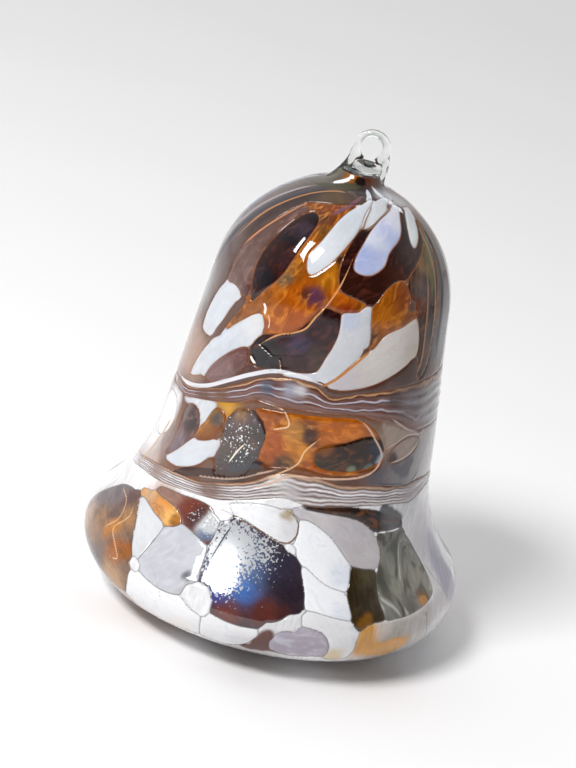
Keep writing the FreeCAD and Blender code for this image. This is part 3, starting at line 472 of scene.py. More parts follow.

# Threads drawn over the skin, some of them painted glints and reflections: (colour, width, places that it
# passes).
THREADS_AND_GLINTS = [
    ((182, 122, 88), 0.55, [(-58, 115.5), (-52, 121), (-44, 127), (-40, 130)]),
    ((216, 154, 104), 0.32,
     [(7, 121), (3, 115), (-1, 111), (-5, 108), (-8, 105.5), (-13, 104), (-20, 102.5), (-27, 99.5)]),
    # Painted highlights: the next five strokes, white and pale, are glints of light left of the oxblood
    # heart, drawn as threads.
    ((250, 240, 228), 0.2, [(-27.5, 99.7), (-24, 99.1), (-19, 98.2)]),
    ((250, 240, 228), 0.5, [(-29.5, 96.9), (-27.4, 96.1), (-26, 95.9)]),
    ((236, 214, 190), 0.16, [(-16, 98.4), (-14.6, 97), (-14.2, 96.2)]),
    ((250, 240, 228), 0.45, [(-30.5, 107.6), (-28.8, 106.8), (-28.4, 105.6)]),
    ((250, 240, 228), 0.18, [(-26.6, 106), (-25, 104.6), (-24.4, 103)]),
    ((188, 118, 50), 0.55, [(24, 104), (17, 100.5), (10, 97), (4, 95)]),
    ((124, 104, 84), 0.3, [(11, 127), (14, 130), (22, 134)]),
    ((124, 98, 76), 0.4, [(14, 127), (20, 128.7), (30, 131), (50, 134), (70, 136)]),
    ((112, 74, 84), 0.8, [(-14, 129), (-4, 132), (10, 136)]),
    ((62, 60, 66), 1.7, [(-80, 106), (-75, 115), (-67, 124), (-56, 131), (-42, 135.4)]),
    ((168, 118, 78), 0.45, [(-68, 116), (-61, 125), (-48, 131.6), (-30, 135), (-10, 136.2)]),
    ((150, 142, 146), 1.0, [(-85, 104), (-81, 114), (-75, 123), (-67, 130), (-58, 134.4)]),
    ((64, 62, 40), 1.5, [(-62, 134.6), (-40, 137), (-15, 138.2), (8, 138.8)]),
    # Painted reflection: a white streak of light along the left of the neck.
    ((240, 242, 246), 0.9, [(-48, 137.6), (-38, 138.6), (-28, 139.4), (-20, 140.2)]),
    ((16, 13, 14), 1.7, [(-6, 139.9), (6, 140), (18, 139.6)]),
    ((224, 226, 232), 1.2, [(36, 139.2), (48, 136.6), (56, 134), (60, 132)]),
    ((206, 208, 214), 1.0, [(22, 138.4), (22, 136.4), (18, 134.4)]),
    ((150, 112, 72), 0.6, [(68, 129), (63, 121), (60, 112), (61, 104)]),
    ((38, 24, 20), 1.3, [(76, 128), (70, 118), (67, 110), (67, 101)]),
    ((92, 88, 46), 0.9, [(66, 127), (60.5, 121.5), (57, 114)]),
    ((172, 118, 78), 0.35, [(55, 119), (53, 111), (54, 103), (52, 98)]),
    ((132, 130, 136), 1.3, [(84, 124), (80, 113), (79, 103), (76, 97)]),
    ((228, 184, 136), 0.32, [(9, 85), (4, 82), (2, 79), (-5, 76), (-8, 74.5)]),
    ((232, 194, 156), 0.3, [(-20, 89), (-10, 89), (-6, 87.5), (-5, 86), (-8, 85.2), (-12, 84.3)]),
    ((216, 180, 156), 0.42,
     [(22, 90), (28, 88.5), (33, 86), (38, 82.5), (36, 79.5), (30, 78), (20, 77.3), (10, 77),
      (0, 76.3), (-8, 73.5), (-15, 71.5)]),
    ((182, 162, 156), 0.4, [(40, 90), (46, 88.5), (52, 87), (60, 86)]),
    ((182, 162, 156), 0.4, [(39, 83.5), (46, 85), (52, 86), (62, 85.6), (66, 87)]),
    ((182, 166, 158), 0.4, [(43, 80.6), (52, 81.5), (60, 83.5), (65, 86)]),
    ((72, 68, 78), 0.42, [(36, 76.8), (42, 76.3), (50, 75.8), (56, 75.2), (61, 76), (66, 78)]),
    # Painted highlights: pale glints on the smoke chip.
    ((240, 226, 206), 0.28, [(-21, 79.8), (-23, 78), (-25.5, 75)]),
    ((44, 46, 60), 0.34, [(-16, 64), (-17.5, 61), (-18.5, 57), (-18, 54), (-16, 52.5)]),
    ((234, 235, 238), 0.32, [(41, 66.3), (48, 66.1), (54, 66.3)]),
    ((152, 150, 152), 0.18, [(-36, 50), (-33, 48.5), (-30, 46.5), (-28, 44)]),
    ((124, 90, 66), 0.34,
     [(-25, 66), (-15, 65.5), (-5, 64.3), (2, 63.2), (6, 63.6), (8, 66), (6, 68.5), (0, 70)]),
    ((212, 146, 54), 0.5, [(32, 44), (36, 42.5), (40, 43.8), (46, 44.5), (50, 42)]),
    ((198, 162, 130), 0.6, [(-65, 76), (-70, 71), (-78, 62)]),
    ((214, 176, 136), 0.3, [(-60, 58), (-56, 55), (-57, 51), (-52, 49), (-48, 47), (-52, 46)]),
    ((206, 170, 140), 0.3, [(-74, 57), (-64, 56.5), (-59, 53), (-61, 49)]),
    ((112, 104, 110), 0.3, [(57, 49), (58, 46), (60, 42)]),
    ((112, 104, 110), 0.26, [(66, 58), (70, 52), (74, 47)]),
    ((222, 222, 228), 0.8,
     [(-74, 84.4), (-60, 85), (-48, 87), (-36, 90.6), (-26, 93.6), (-16, 95.8), (-4, 96.2), (6, 95.4)]),
    ((60, 40, 34), 1.8, [(-50, 67.9), (-36, 70.9), (-22, 73.4), (-10, 76.6)]),
    ((50, 50, 58), 1.8, [(-25, 73.8), (-18, 75.2), (-12, 77.4)]),
    ((190, 162, 144), 0.35, [(-56, 67), (-38, 69.8), (-22, 72.4), (-12, 75.2), (-4, 77.4)]),
]
# How many of the threads and painted glints, from the first, the far side carries too, turned half round.
FAR_THREADS = 24

# Metallic lustre on a chip: (degrees, millimetres up the wall, size of the spot, strength).
LUSTRE = {
    "silver_lustre": [(-14, 59.5, 7.5, 1.0), (-13, 54, 5, 0.95), (-4, 60.5, 4.5, 0.72)],
    "brown_lustre": [(-24, 62, 2.2, 0.9), (-32, 63, 2.5, 0.4)],
    "smoke_middle": [(-24, 80, 6, 0.35)],
    "lower_thread_band": [(-5, 74, 8, 0.3), (20, 73, 12, 0.2)],
}


def linear(colour):
    """A painter's colour as linear light, from 0 to 1."""
    share = np.asarray(colour, float) / 255
    return np.where(share < 0.04045, share / 12.92, ((share + 0.055) / 1.055) ** 2.4)


# ---------------------------------------------------------------- the wall


def arc_points(arc, start, end, count=240):
    """Points along a profile arc, between two directions in degrees."""
    (across, height), radius = arc
    turn = np.radians(np.linspace(start, end, count))
    return np.column_stack([across + radius * np.cos(turn), height + radius * np.sin(turn)])


def direction(start, end):
    """The direction from one profile point to another, in degrees."""
    return math.degrees(math.atan2(end[1] - start[1], end[0] - start[0]))


def outer_profile():
    """Distances up the wall from the middle of the base, with their radius and height."""
    (flare, flare_radius), (dome, dome_radius) = FLARE, DOME
    pad_points = 80
    apart = math.dist(flare, dome)
    side = direction(flare, dome) + math.degrees(math.acos((flare_radius + dome_radius) / apart))
    dome_end = direction(dome, NECK[0])
    neck_end = 180 + math.degrees(math.asin((NECK[0][1] - NECK_TOP) / NECK[1]))
    points = np.concatenate([
        np.column_stack([np.linspace(0, BELLY[0][0], pad_points), np.zeros(pad_points)]),
        arc_points(BELLY, -90, direction(BELLY[0], ROLL[0])),
        arc_points(ROLL, direction(BELLY[0], ROLL[0]), direction(ROLL[0], flare)),
        arc_points(FLARE, 180 + direction(ROLL[0], flare), side),
        arc_points(DOME, side - 180, dome_end),
        arc_points(NECK, 180 + dome_end, neck_end)])
    steps = np.linalg.norm(np.diff(points, axis=0), axis=1)
    keep = np.concatenate([[True], steps > 1e-6])
    distance = np.concatenate([[0], np.cumsum(steps)])
    return distance[keep], points[keep]


PROFILE_DISTANCE, PROFILE = outer_profile()
WALL_TOP = PROFILE_DISTANCE[-1]


def wall_radius(climb):
    """Radius of the bell at a distance up its wall."""
    return np.interp(climb, PROFILE_DISTANCE, PROFILE[:, 0])


def wall_height(climb):
    """Height over the floor at a distance up the wall."""
    return np.interp(climb, PROFILE_DISTANCE, PROFILE[:, 1])


def on_wall(turn, climb):
    """Places and outward normals on the wall, from degrees and distances up it."""
    nudge = 0.4
    low = np.clip(climb - nudge, 0, WALL_TOP)
    high = np.clip(climb + nudge, 0, WALL_TOP)
    radius, height = wall_radius(climb), wall_height(climb)
    rise = wall_height(high) - wall_height(low)
    spread = wall_radius(high) - wall_radius(low)
    length = np.hypot(rise, spread)
    angle = np.radians(turn)
    sideways, front = np.sin(angle), -np.cos(angle)
    place = np.column_stack([radius * sideways, radius * front, height])
    normal = np.column_stack([rise * sideways, rise * front, -spread]) / length[:, None]
    return place, normal


def noise(points, cell, seed):
    """A smooth random field from -1 to 1 over points in space, in cells of one size."""
    cells = 32
    table = np.random.default_rng(seed).random((cells, cells, cells)) * 2 - 1
    scaled = points / cell
    corner = np.floor(scaled).astype(int)
    share = scaled - corner
    share = share * share * (3 - 2 * share)
    total = np.zeros(len(points))
    for step in itertools.product((0, 1), repeat=3):
        index = (corner + step) % cells
        weight = np.prod(np.where(step, share, 1 - share), axis=1)
        total += weight * table[index[:, 0], index[:, 1], index[:, 2]]
    return total


def fields(points, *kinds):
    """Random fields added up, each given by its strength, its cell and its seed."""
    return sum(strength * noise(points, cell, seed) for strength, cell, seed in kinds)


# ---------------------------------------------------------------- outlines and owners


def wrapped(turn):
    """Degrees brought into -180 to 180."""
    return (turn + 180) % 360 - 180


def nearness(turn, climb, spot_turn, spot_climb, size):
    """How much each place belongs to a round soft spot, from 0 to 1 at its middle."""
    sideways = np.radians(wrapped(turn - spot_turn)) * wall_radius(climb)
    return np.exp(-(sideways ** 2 + (climb - spot_climb) ** 2) / size ** 2)


def curve_point(before, here, after, beyond, share):
    """A point of the Catmull-Rom curve that runs from here to after."""
    return 0.5 * (2 * here + (after - before) * share
                  + (2 * before - 5 * here + 4 * after - beyond) * share ** 2
                  + (3 * here - before - 3 * after + beyond) * share ** 3)


def smooth_loop(corners, steps=9):
    """A closed smooth curve through the corners."""
    knots = np.asarray(corners, float)
    before, after, beyond = (np.roll(knots, shift, axis=0) for shift in (1, -1, -2))
    rows = [curve_point(before, knots, after, beyond, share)
            for share in np.linspace(0, 1, steps, endpoint=False)]
    return np.stack(rows, axis=1).reshape(-1, 2)


class Outline:
    """A closed outline on the wall, flattened round its own middle."""

    def __init__(self, corners):
        loop = smooth_loop(corners)
        self.turn = (loop[:, 0].min() + loop[:, 0].max()) / 2
        self.climb = (loop[:, 1].min() + loop[:, 1].max()) / 2
        self.scale = math.radians(1) * float(wall_radius(self.climb))
        self.loop = (loop - [self.turn, self.climb]) * [self.scale, 1]
        _, axes = np.linalg.eigh(np.cov(self.loop.T))
        self.along = axes[:, 1] * np.sign(axes[1, 1] or 1)

    def flat(self, turn, climb):
        """Places on the wall as millimetres right of and above the outline's middle."""
        return np.column_stack([wrapped(turn - self.turn) * self.scale, climb - self.climb])

    def near(self, flat):
        """Which places are inside the outline's box, with a margin."""
        low, high = self.loop.min(0) - SEAM_REACH, self.loop.max(0) + SEAM_REACH
        return ((flat > low) & (flat < high)).all(axis=1)

    def reach(self, flat):
        """Signed distance to the outline, less than 0 inside, and the way to it."""
        start = self.loop
        end = np.roll(start, -1, axis=0)
        edge = end - start
        offset = flat[:, None] - start
        share = np.clip((offset * edge).sum(-1) / (edge * edge).sum(-1), 0, 1)
        way = start + share[..., None] * edge - flat[:, None]
        distance = np.hypot(way[..., 0], way[..., 1])
        nearest = distance.argmin(1)
        rows = np.arange(len(flat))
        crosses = (start[:, 1] > flat[:, None, 1]) != (end[:, 1] > flat[:, None, 1])
        climb = np.where(edge[:, 1] == 0, 1, edge[:, 1])
        meets = start[:, 0] + (flat[:, None, 1] - start[:, 1]) / climb * edge[:, 0]
        inside = (crosses & (flat[:, None, 0] < meets)).sum(1) % 2 == 1
        distance = distance[rows, nearest]
        return np.where(inside, -distance, distance), way[rows, nearest]


EVERY_DEGREE = np.arange(-180, 181)


def edge_curve(places):
    """A band's edge, as distances up the wall for every degree round the bell."""
    turn = EVERY_DEGREE
    front = np.where(np.abs(turn) > 90, np.sign(turn) * 180 - turn, turn)
    turns, climbs = np.array(places, float).T
    climb = np.interp(front, turns, climbs)
    lap = 10
    kernel = np.hanning(lap + 1) / np.hanning(lap + 1).sum()
    lapped = np.concatenate([climb[-lap - 1:-1], climb, climb[1:lap + 1]])
    return np.convolve(lapped, kernel, "same")[lap:-lap]


BAND_CURVES = {name: {side: edge_curve(places) for side, places in sides.items()}
               for name, sides in BANDS.items()}


def band_edge(name, side, turn):
    """Distance up the wall of a band's top or bottom edge."""
    return np.interp(wrapped(turn), EVERY_DEGREE, BAND_CURVES[name][side])


def band_edges(name, turn):
    """Distances up the wall of a band's top and bottom edges."""
    return band_edge(name, "top", turn), band_edge(name, "bottom", turn)


def turned_places(places, turned):
    """Places on the wall, turned round the axis."""
    return [(turn + turned, climb) for turn, climb in places]


def turned_spots(spots, turned):
    """Spots on the wall, turned round the axis."""
    return [(spot[0] + turned, *spot[1:]) for spot in spots]


def with_far_chips(field, outlines):
    """A field's outlines, followed by those of the far side's turned chips."""
    turned = {name: turned_places(outlines[front], BACK_TURN)
              for name, front in BACK_CHIPS[field].items()}
    return {**outlines, **turned}


FIELD_CHIPS = {"upper": UPPER_CHIPS, "middle": MIDDLE_CHIPS, "flare": FLARE_CHIPS}
GROUNDS = [field + "_ground_glass" for field in FIELD_CHIPS]
CHIP_OUTLINES = {}
CHIP_FIELD = {}
for number, (field, outlines) in enumerate(FIELD_CHIPS.items()):
    for chip, corners in with_far_chips(field, outlines).items():
        CHIP_OUTLINES[chip] = Outline(corners)
        CHIP_FIELD[chip] = number
OWNERS = GROUNDS + list(CHIP_OUTLINES) + list(BANDS)

# Round the sides and the back, the front's kinds of glass show again, soft-edged and laid
# within the ground, turned by these degrees.
VEIL_TURNS = (112, -112, BACK_TURN)


def turned_veils(field, outlines):
    """The glass laid in a field's ground out of the front's sight, lowest first. Chips that
    stand on the far side as pieces of their own are left out there."""
    standing = BACK_CHIPS[field].values()
    return [(chip, turned, turned_places(corners, turned))
            for turned in VEIL_TURNS for chip, corners in outlines.items()
            if turned != BACK_TURN or chip not in standing]


TURNED_VEILS = {ground: turned_veils(field, outlines)
                for ground, (field, outlines) in zip(GROUNDS, FIELD_CHIPS.items())}


def chip_reaches(number, turn, climb):
    """Signed distances of places from a field's chips, later chips cut out of earlier ones,
    and the way in which each distance grows."""
    outlines = [CHIP_OUTLINES[name] for name in CHIP_OUTLINES if CHIP_FIELD[name] == number]
    reaches = np.full((len(outlines), len(turn)), float(SEAM_REACH))
    slopes = np.zeros((len(outlines), len(turn), 2))
    for index, outline in enumerate(outlines):
        flat = outline.flat(turn, climb)
        rows = np.flatnonzero(outline.near(flat))
        reach, step = outline.reach(flat[rows])
        length = np.maximum(np.hypot(*step.T), 1e-6)
        slope = step / length[:, None] * np.where(reach < 0, 1, -1)[:, None]
        for earlier in range(index):
            cut = -reach > reaches[earlier, rows]
            reaches[earlier, rows[cut]] = -reach[cut]
            slopes[earlier, rows[cut]] = -slope[cut]
        reaches[index, rows] = reach
        slopes[index, rows] = slope
    return reaches, slopes


def lay_glass(turn, climb):
    """The owner of each place, with the distance from its nearest seam and the way to it.

    Chips that lie close together spread until they meet.
    """
    least_slope = 0.25
    middles = [sum(band_edges(name, turn)) / 2 for name in BANDS]
    field = (climb < middles[0]).astype(int) + (climb < middles[1])
    owner = field.copy()
    seam = np.full(len(turn), float(SEAM_REACH))
    way = np.zeros((len(turn), 2))
    first_chip = len(GROUNDS)
    for number, gap in enumerate(CLOSED_GAPS):
        rows = np.flatnonzero(field == number)
        reaches, slopes = chip_reaches(number, turn[rows], climb[rows])
        first, second = np.argsort(reaches, axis=0)[:2]
        each = np.arange(len(rows))
        near, next_near = reaches[first, each], reaches[second, each]
        out, next_out = slopes[first, each], slopes[second, each]
        closing = gap - near - next_near
        spread = np.clip(closing, 0, None) - near
        spread_slope = -out - np.where(closing > 0, 1, 0)[:, None] * (out + next_out)
        steepness = np.maximum((spread_slope ** 2).sum(1), least_slope)
        between = (next_near - near) / 2
        toward = (next_out - out) / 2
        toward /= np.maximum((toward ** 2).sum(1), least_slope)[:, None]
        rim = np.abs(spread) / np.sqrt(steepness)
        taken = spread > 0
        meets = taken & (between < rim)
        seam[rows] = np.where(meets, between, rim)
        way[rows] = np.where(meets[:, None], -between[:, None] * toward,
                             -(spread / steepness)[:, None] * spread_slope)
        owner[rows[taken]] = first_chip + first[taken]
        first_chip += len(reaches)
    for index, name in enumerate(BANDS, start=OWNERS.index("upper_thread_band")):
        top, bottom = band_edges(name, turn)
        inside = (climb < top) & (climb > bottom)
        step = np.where(np.abs(top - climb) < np.abs(climb - bottom), top - climb, bottom - climb)
        closer = inside | (np.abs(step) < seam)
        owner[inside] = index
        seam[closer] = np.abs(step[closer])
        way[closer] = np.column_stack([np.zeros(closer.sum()), step[closer]])
    way[:, 0] /= math.radians(1) * wall_radius(climb)
    return owner, np.minimum(seam, SEAM_REACH), way


def settle(owner, passes=3):
    """Owners of the grid's two triangles a cell, with lone triangles given to a neighbour."""
    first, second = owner
    for _ in range(passes):
        below = np.concatenate([first[:, :1], second[:, :-1]], axis=1)
        above = np.concatenate([first[:, 1:], second[:, -1:]], axis=1)
        beside_first = (second, below, np.roll(second, -1, axis=0))
        beside_second = (first, above, np.roll(first, 1, axis=0))
        settled = []
        for own, beside in ((first, beside_first), (second, beside_second)):
            friends = sum((near == own).astype(int) for near in beside)
            agreed = np.where(beside[1] == beside[2], beside[1], beside[0])
            settled.append(np.where(friends == 0, agreed, own))
        first, second = settled
    return first, second


# ---------------------------------------------------------------- colour by place


def tinted(turn, climb, base, spots, strength=5, small=2.2):
    """A colour for each place: the base, tinted by soft spots. Small spots stand over large."""
    total = np.tile(linear(base), (len(turn), 1))
    weight = np.ones(len(turn))
    for *spot, colour in spots:
        near = strength * max(1, small / spot[2]) ** 2 * nearness(turn, climb, *spot)
        total += near[:, None] * linear(colour)
        weight += near
    return total / weight[:, None]


def open_curve(places, turned=0, steps=10):
    """A smooth line through places given by two values each, with the first value turned."""
    knots = np.array(places, float) + [turned, 0]
    ends = np.concatenate([[2 * knots[0] - knots[1]], knots, [2 * knots[-1] - knots[-2]]])
    rows = [curve_point(*four, share) for four in zip(ends, ends[1:], ends[2:], ends[3:])
            for share in np.linspace(0, 1, steps, endpoint=False)]
    rows.append(knots[-1])
    return np.array(rows)


def lay_threads_and_glints(turn, climb):
    """Each place's distance from its nearest thread's edge, that thread's colour, and the swelling that
    threads raise there, from 0 to 1. Some threads are painted glints and reflections, drawn with the rest."""
    reach = 3.0
    gap = np.full(len(turn), reach)
    colour = np.zeros((len(turn), 3))
    swell = np.zeros(len(turn))
    laid = [(thread, 0) for thread in THREADS_AND_GLINTS]
    laid += [(thread, BACK_TURN) for thread in THREADS_AND_GLINTS[:FAR_THREADS]]
    for (paint, width, places), turned in laid:
        curve = open_curve(places, turned)
        middle = curve.mean(0)
        scale = np.array([math.radians(1) * float(wall_radius(middle[1])), 1])
        flat = np.column_stack([wrapped(turn - middle[0]), climb - middle[1]]) * scale
        path = (curve - middle) * scale
        low, high = path.min(0) - reach, path.max(0) + reach
        rows = np.flatnonzero(((flat > low) & (flat < high)).all(axis=1))
        edge = path[1:] - path[:-1]
        offset = flat[rows, None] - path[:-1]
        share = np.clip((offset * edge).sum(-1) / (edge * edge).sum(-1), 0, 1)
        way = offset - share[..., None] * edge
        distances = np.hypot(way[..., 0], way[..., 1])
        nearest = distances.argmin(1)
        along = (nearest + share[np.arange(len(rows)), nearest]) / len(edge)
        # A thread thins over the last eighth at each end, down to a quarter of its width.
        taper = np.clip(np.minimum(along, 1 - along) * 8, 0.25, 1)
        distance = distances.min(1)
        beyond = distance - width / 2 * taper
        closer = beyond < gap[rows]
        gap[rows[closer]] = beyond[closer]
        colour[rows[closer]] = linear(paint)
        swell[rows] = np.maximum(swell[rows], taper * np.exp(-(distance / (0.9 * width)) ** 2))
    return gap, colour, swell


# ---------------------------------------------------------------- the grid


def make_grid():
    """The wall's grid: where its points are, how far from a seam, and its triangles with the
    owner of each. Points close to a seam are pulled onto it."""
    turns = np.arange(TURNS) * 360 / TURNS - 180
    climbs = np.linspace(PAD_RADIUS, WALL_TOP, CLIMBS)
    turn = np.repeat(turns, CLIMBS)
    climb = np.tile(climbs, TURNS)
    _, seam, way = lay_glass(turn, climb)
    movable = (climb > climbs[0]) & (climb < climbs[-1])
    near = (seam < SNAP) & movable
    turn[near] += way[near, 0]
    climb[near] += way[near, 1]
    seam[near] = 0

    columns, rows = np.arange(TURNS)[:, None], np.arange(CLIMBS - 1)[None, :]
    here = columns * CLIMBS + rows
    right = (columns + 1) % TURNS * CLIMBS + rows
    triangles = np.stack([np.stack([here, right, right + 1], axis=-1),
                          np.stack([here, right + 1, here + 1], axis=-1)])
    corners = turn[triangles]
    middle_turn = corners[..., 0] + wrapped(corners - corners[..., :1]).mean(-1)
    middle_climb = climb[triangles].mean(-1)
    owner = lay_glass(middle_turn.ravel(), middle_climb.ravel())[0].reshape(middle_turn.shape)
    owner = np.stack(settle(owner))
    return turn, climb, seam, triangles.reshape(-1, 3), owner.ravel()


turn, climb, seam, triangles, triangle_owner = make_grid()
place, normal = on_wall(turn, climb)
thread_and_glint_gap, thread_and_glint_colour, thread_swell = lay_threads_and_glints(turn, climb)


def band_share(name):
    """Each place's share of the way up a band, from 0 at its bottom edge to 1."""
    top, bottom = band_edges(name, turn)
    return (climb - bottom) / (top - bottom)


def relief():
    """Height of the glass over the plain wall at each place, in millimetres."""
    # The swells are drawn out up the wall, as the glass was.
    drawn_out = place.copy()
    drawn_out[:, 2] *= 0.55
    height = fields(drawn_out, *SWELLS)
    height += BULGE * (1 - np.exp(-seam / BULGE_WIDTH)) - GROOVE * np.exp(-(seam / GROOVE_WIDTH) ** 2)
    height += THREAD_RISE * thread_swell
    for name, ridges in RIDGES.items():
        share = band_share(name)
        inside = np.clip(4 * np.minimum(share, 1 - share), 0, 1)
        wobble = share + fields(place, RIDGE_WANDER)
        height += RIDGE_RISE * inside * np.sin(2 * math.pi * ridges * wobble)
    # The relief dies out toward the neck and toward the underside.
    calm = np.clip((WALL_TOP - climb) / 6, 0, 1) * np.clip((climb - 22) / 8, 0, 1)
    return height * calm


# Tints are looked up a little aside of each place, so that they run like pulled glass. Close
# to the axis the shift is held back, because a degree is short there.
LEAST_RADIUS = 8
sideways_drift, upward_drift = (fields(place, *kinds) for kinds in DRIFTS)
drifted_turn = turn + sideways_drift / (math.radians(1) * np.maximum(wall_radius(climb), LEAST_RADIUS))
drifted_climb = climb + upward_drift

outer = (place + normal * relief()[:, None]) * MM
inner = (place - normal * SKIN_THICKNESS) * MM


# ---------------------------------------------------------------- materials


class Nodes:
    """A new material's node tree, with short ways to add and join nodes."""

    def __init__(self, name):
        self.material = bpy.data.materials.new(name)
        self.material.use_nodes = True
        self.tree = self.material.node_tree
        self.shader = self.tree.nodes["Principled BSDF"]

    def add(self, kind, settings=(), **inputs):
        """A node with its properties set, and its sockets set or joined. A socket is given by
        its name, or as i and its number."""
        made = self.tree.nodes.new("ShaderNode" + kind)
        for key, value in dict(settings).items():
            setattr(made, key, value)
        for key, value in inputs.items():
            socket = int(key[1:]) if key[1:].isdigit() else key.replace("_", " ")
            self.give(made.inputs[socket], value)
        return made

    def give(self, socket, value):
        """Join an output to a socket, or set the socket's own value."""
        if isinstance(value, bpy.types.NodeSocket):
            self.tree.links.new(value, socket)
        else:
            socket.default_value = value

    def surface(self, **values):
        """Join or set sockets of the shader by name, with _ for a space."""
        for name, value in values.items():
            self.give(self.shader.inputs[name.replace("_", " ")], value)

    def sum_of(self, kind, *values):
        """The result of a sum on plain values."""
        sockets = {f"i{number}": value for number, value in enumerate(values)}
        return self.add("Math", {"operation": kind}, **sockets).outputs[0]

    def attribute(self, name, output="Color"):
        """A value carried by the mesh."""
        return self.add("Attribute", {"attribute_name": name}).outputs[output]

    def between(self, value, low, high, to_low=0.0, to_high=1.0):
        """A value taken smoothly from one range to another."""
        node = self.add("MapRange", {"interpolation_type": "SMOOTHSTEP"}, i0=value, i1=low, i2=high,
                        i3=to_low, i4=to_high)
        return node.outputs[0]

    def mixed(self, share, first, second):
        """Two colours mixed, all the second at a share of 1."""
        return self.add("Mix", {"data_type": "RGBA"}, i0=share, i6=first, i7=second).outputs[2]

    def grain(self, scale, detail=3.0, stretch=(1, 1, 1), distortion=0.0):
        """Noise over the glass, stretched along the way that it was pulled."""
        mapped = self.add("Mapping", i0=self.attribute("flow", "Vector"), i3=stretch)
        return self.add("TexNoise", i0=mapped.outputs[0], Scale=scale, Detail=detail,
                        Distortion=distortion).outputs["Fac"]


def rgb(colour):
    """A painter's colour as a node's colour."""
    return (*linear(colour), 1)


# How rough the coloured glass is, on the whole.
ROUGHNESS = 0.045


def stripes_across(nodes, stripes, wave=0.42, ripple=0.07):
    """Stripes across a band, which wander by wave and ripple as shares of its width."""
    across = nodes.attribute("across", "Fac")
    bent = nodes.sum_of("MULTIPLY_ADD", nodes.grain(0.16, detail=2.0), wave, across)
    bent = nodes.sum_of("MULTIPLY_ADD", nodes.grain(0.5, detail=2.0), ripple, bent)
    ramp = nodes.add("ValToRGB", i0=nodes.sum_of("SUBTRACT", bent, (wave + ripple) / 2))
    elements = ramp.color_ramp.elements
    for index, (stop, _) in enumerate(stripes):
        element = elements[index] if index < 2 else elements.new(stop)
        element.position = stop
    for element, (_, paint) in zip(elements, stripes):
        element.color = rgb(paint)
    return ramp.outputs["Color"]


def coloured_glass(name, streak, mottle, seam_share=0.7, tint=None, tint_share=0.0, lustre=False,
                   stripes=None, painted_see_through=False):
    """Solid coloured glass: its painted colour with streaks, mottling, seams and threads, some threads being
    painted glints and reflections. Where asked, dark and pale veins paint what shows through clear glass
    drawn opaque.

    Streak and mottle are how far these lighten and darken the colour, and seam_share is how
    much of its own colour a seam shows.
    """
    nodes = Nodes(name)
    colour = nodes.attribute("paint")
    if stripes:
        striped = stripes_across(nodes, stripes)
        colour = nodes.mixed(nodes.attribute("veil", "Fac"), striped, colour)
    streaks = nodes.grain(1.0, detail=4.0, stretch=(0.09, 1.1, 1), distortion=0.8)
    light = nodes.between(streaks, 0.3, 0.7, 1 - streak, 1 + streak)
    patches = nodes.grain(0.45, detail=3.0, stretch=(0.6, 1, 1), distortion=1.5)
    if tint:
        share = nodes.between(patches, 0.5, 0.72, 0.0, tint_share)
        colour = nodes.mixed(share, colour, rgb(tint))
    # Painted see-through: the clear window is drawn opaque, and these dark and pale veins paint what would
    # show through its clear glass.
    if painted_see_through:
        see_through_veins = nodes.grain(0.13, detail=1.5, stretch=(0.6, 1, 1), distortion=3.0)
        dark = nodes.between(see_through_veins, 0.5, 0.38, 0.0, 0.7)
        colour = nodes.mixed(dark, colour, rgb((60, 56, 48)))
        pale = nodes.between(see_through_veins, 0.58, 0.66, 0.0, 0.55)
        colour = nodes.mixed(pale, colour, rgb((196, 198, 188)))
    cloud = nodes.between(patches, 0.28, 0.7, 1 - mottle, 1 + mottle)
    strength = nodes.sum_of("MULTIPLY", light, cloud)
    colour = nodes.add("VectorMath", {"operation": "SCALE"}, i0=colour, Scale=strength).outputs[0]
    seam = nodes.between(nodes.attribute("seam", "Fac"), 0.04, 0.2, seam_share, 0.0)
    colour = nodes.mixed(seam, colour, nodes.attribute("seam_paint"))
    if lustre:
        specks = nodes.grain(1.9, detail=5.0)
        ragged = nodes.sum_of("MULTIPLY_ADD", specks, 2.4, nodes.attribute("lustre", "Fac"))
        film = nodes.between(ragged, 1.72, 1.86)
        colour = nodes.mixed(film, colour, rgb(SILVER))
        metal = nodes.sum_of("MULTIPLY", film, 0.45)
        nodes.surface(Metallic=metal, Coat_Weight=0.6, Coat_Roughness=0.03)
        gloss = nodes.between(nodes.attribute("lustre", "Fac"), 0.0, 1.0, 0.06, 0.24)
    else:
        gloss = nodes.between(patches, 0.3, 0.7, ROUGHNESS * 0.6, ROUGHNESS * 1.5)
    # Threads are laid over the colour, some of them painted glints and reflections.
    thread = nodes.between(nodes.attribute("thread", "Fac"), -0.06, 0.07, 0.92, 0.0)
    colour = nodes.mixed(thread, colour, nodes.attribute("thread_and_glint_paint"))
    ripples = nodes.grain(0.3, detail=2.0, stretch=(0.5, 1, 1))
    bump = nodes.add("Bump", Strength=0.12, Distance=0.12 * MM, Height=ripples).outputs[0]
    nodes.surface(Base_Color=colour, Roughness=gloss, IOR=1.5, Normal=bump)
    return nodes.material


def clear_glass(name, tint):
    """Clear glass with faint cords in it."""
    nodes = Nodes(name)
    cords = nodes.add("TexNoise", i0=nodes.add("TexCoord").outputs["Object"], Scale=420.0, Detail=2.0)
    share = nodes.between(cords.outputs["Fac"], 0.35, 0.65)
    colour = nodes.mixed(share, rgb(tint), rgb((250, 251, 250)))
    gloss = nodes.between(cords.outputs["Fac"], 0.3, 0.7, 0.0, 0.03)
    bump = nodes.add("Bump", Strength=0.3, Distance=0.1 * MM, Height=cords.outputs["Fac"]).outputs[0]
    nodes.surface(Base_Color=colour, Roughness=gloss, Transmission_Weight=1, IOR=1.47, Normal=bump)
    return nodes.material


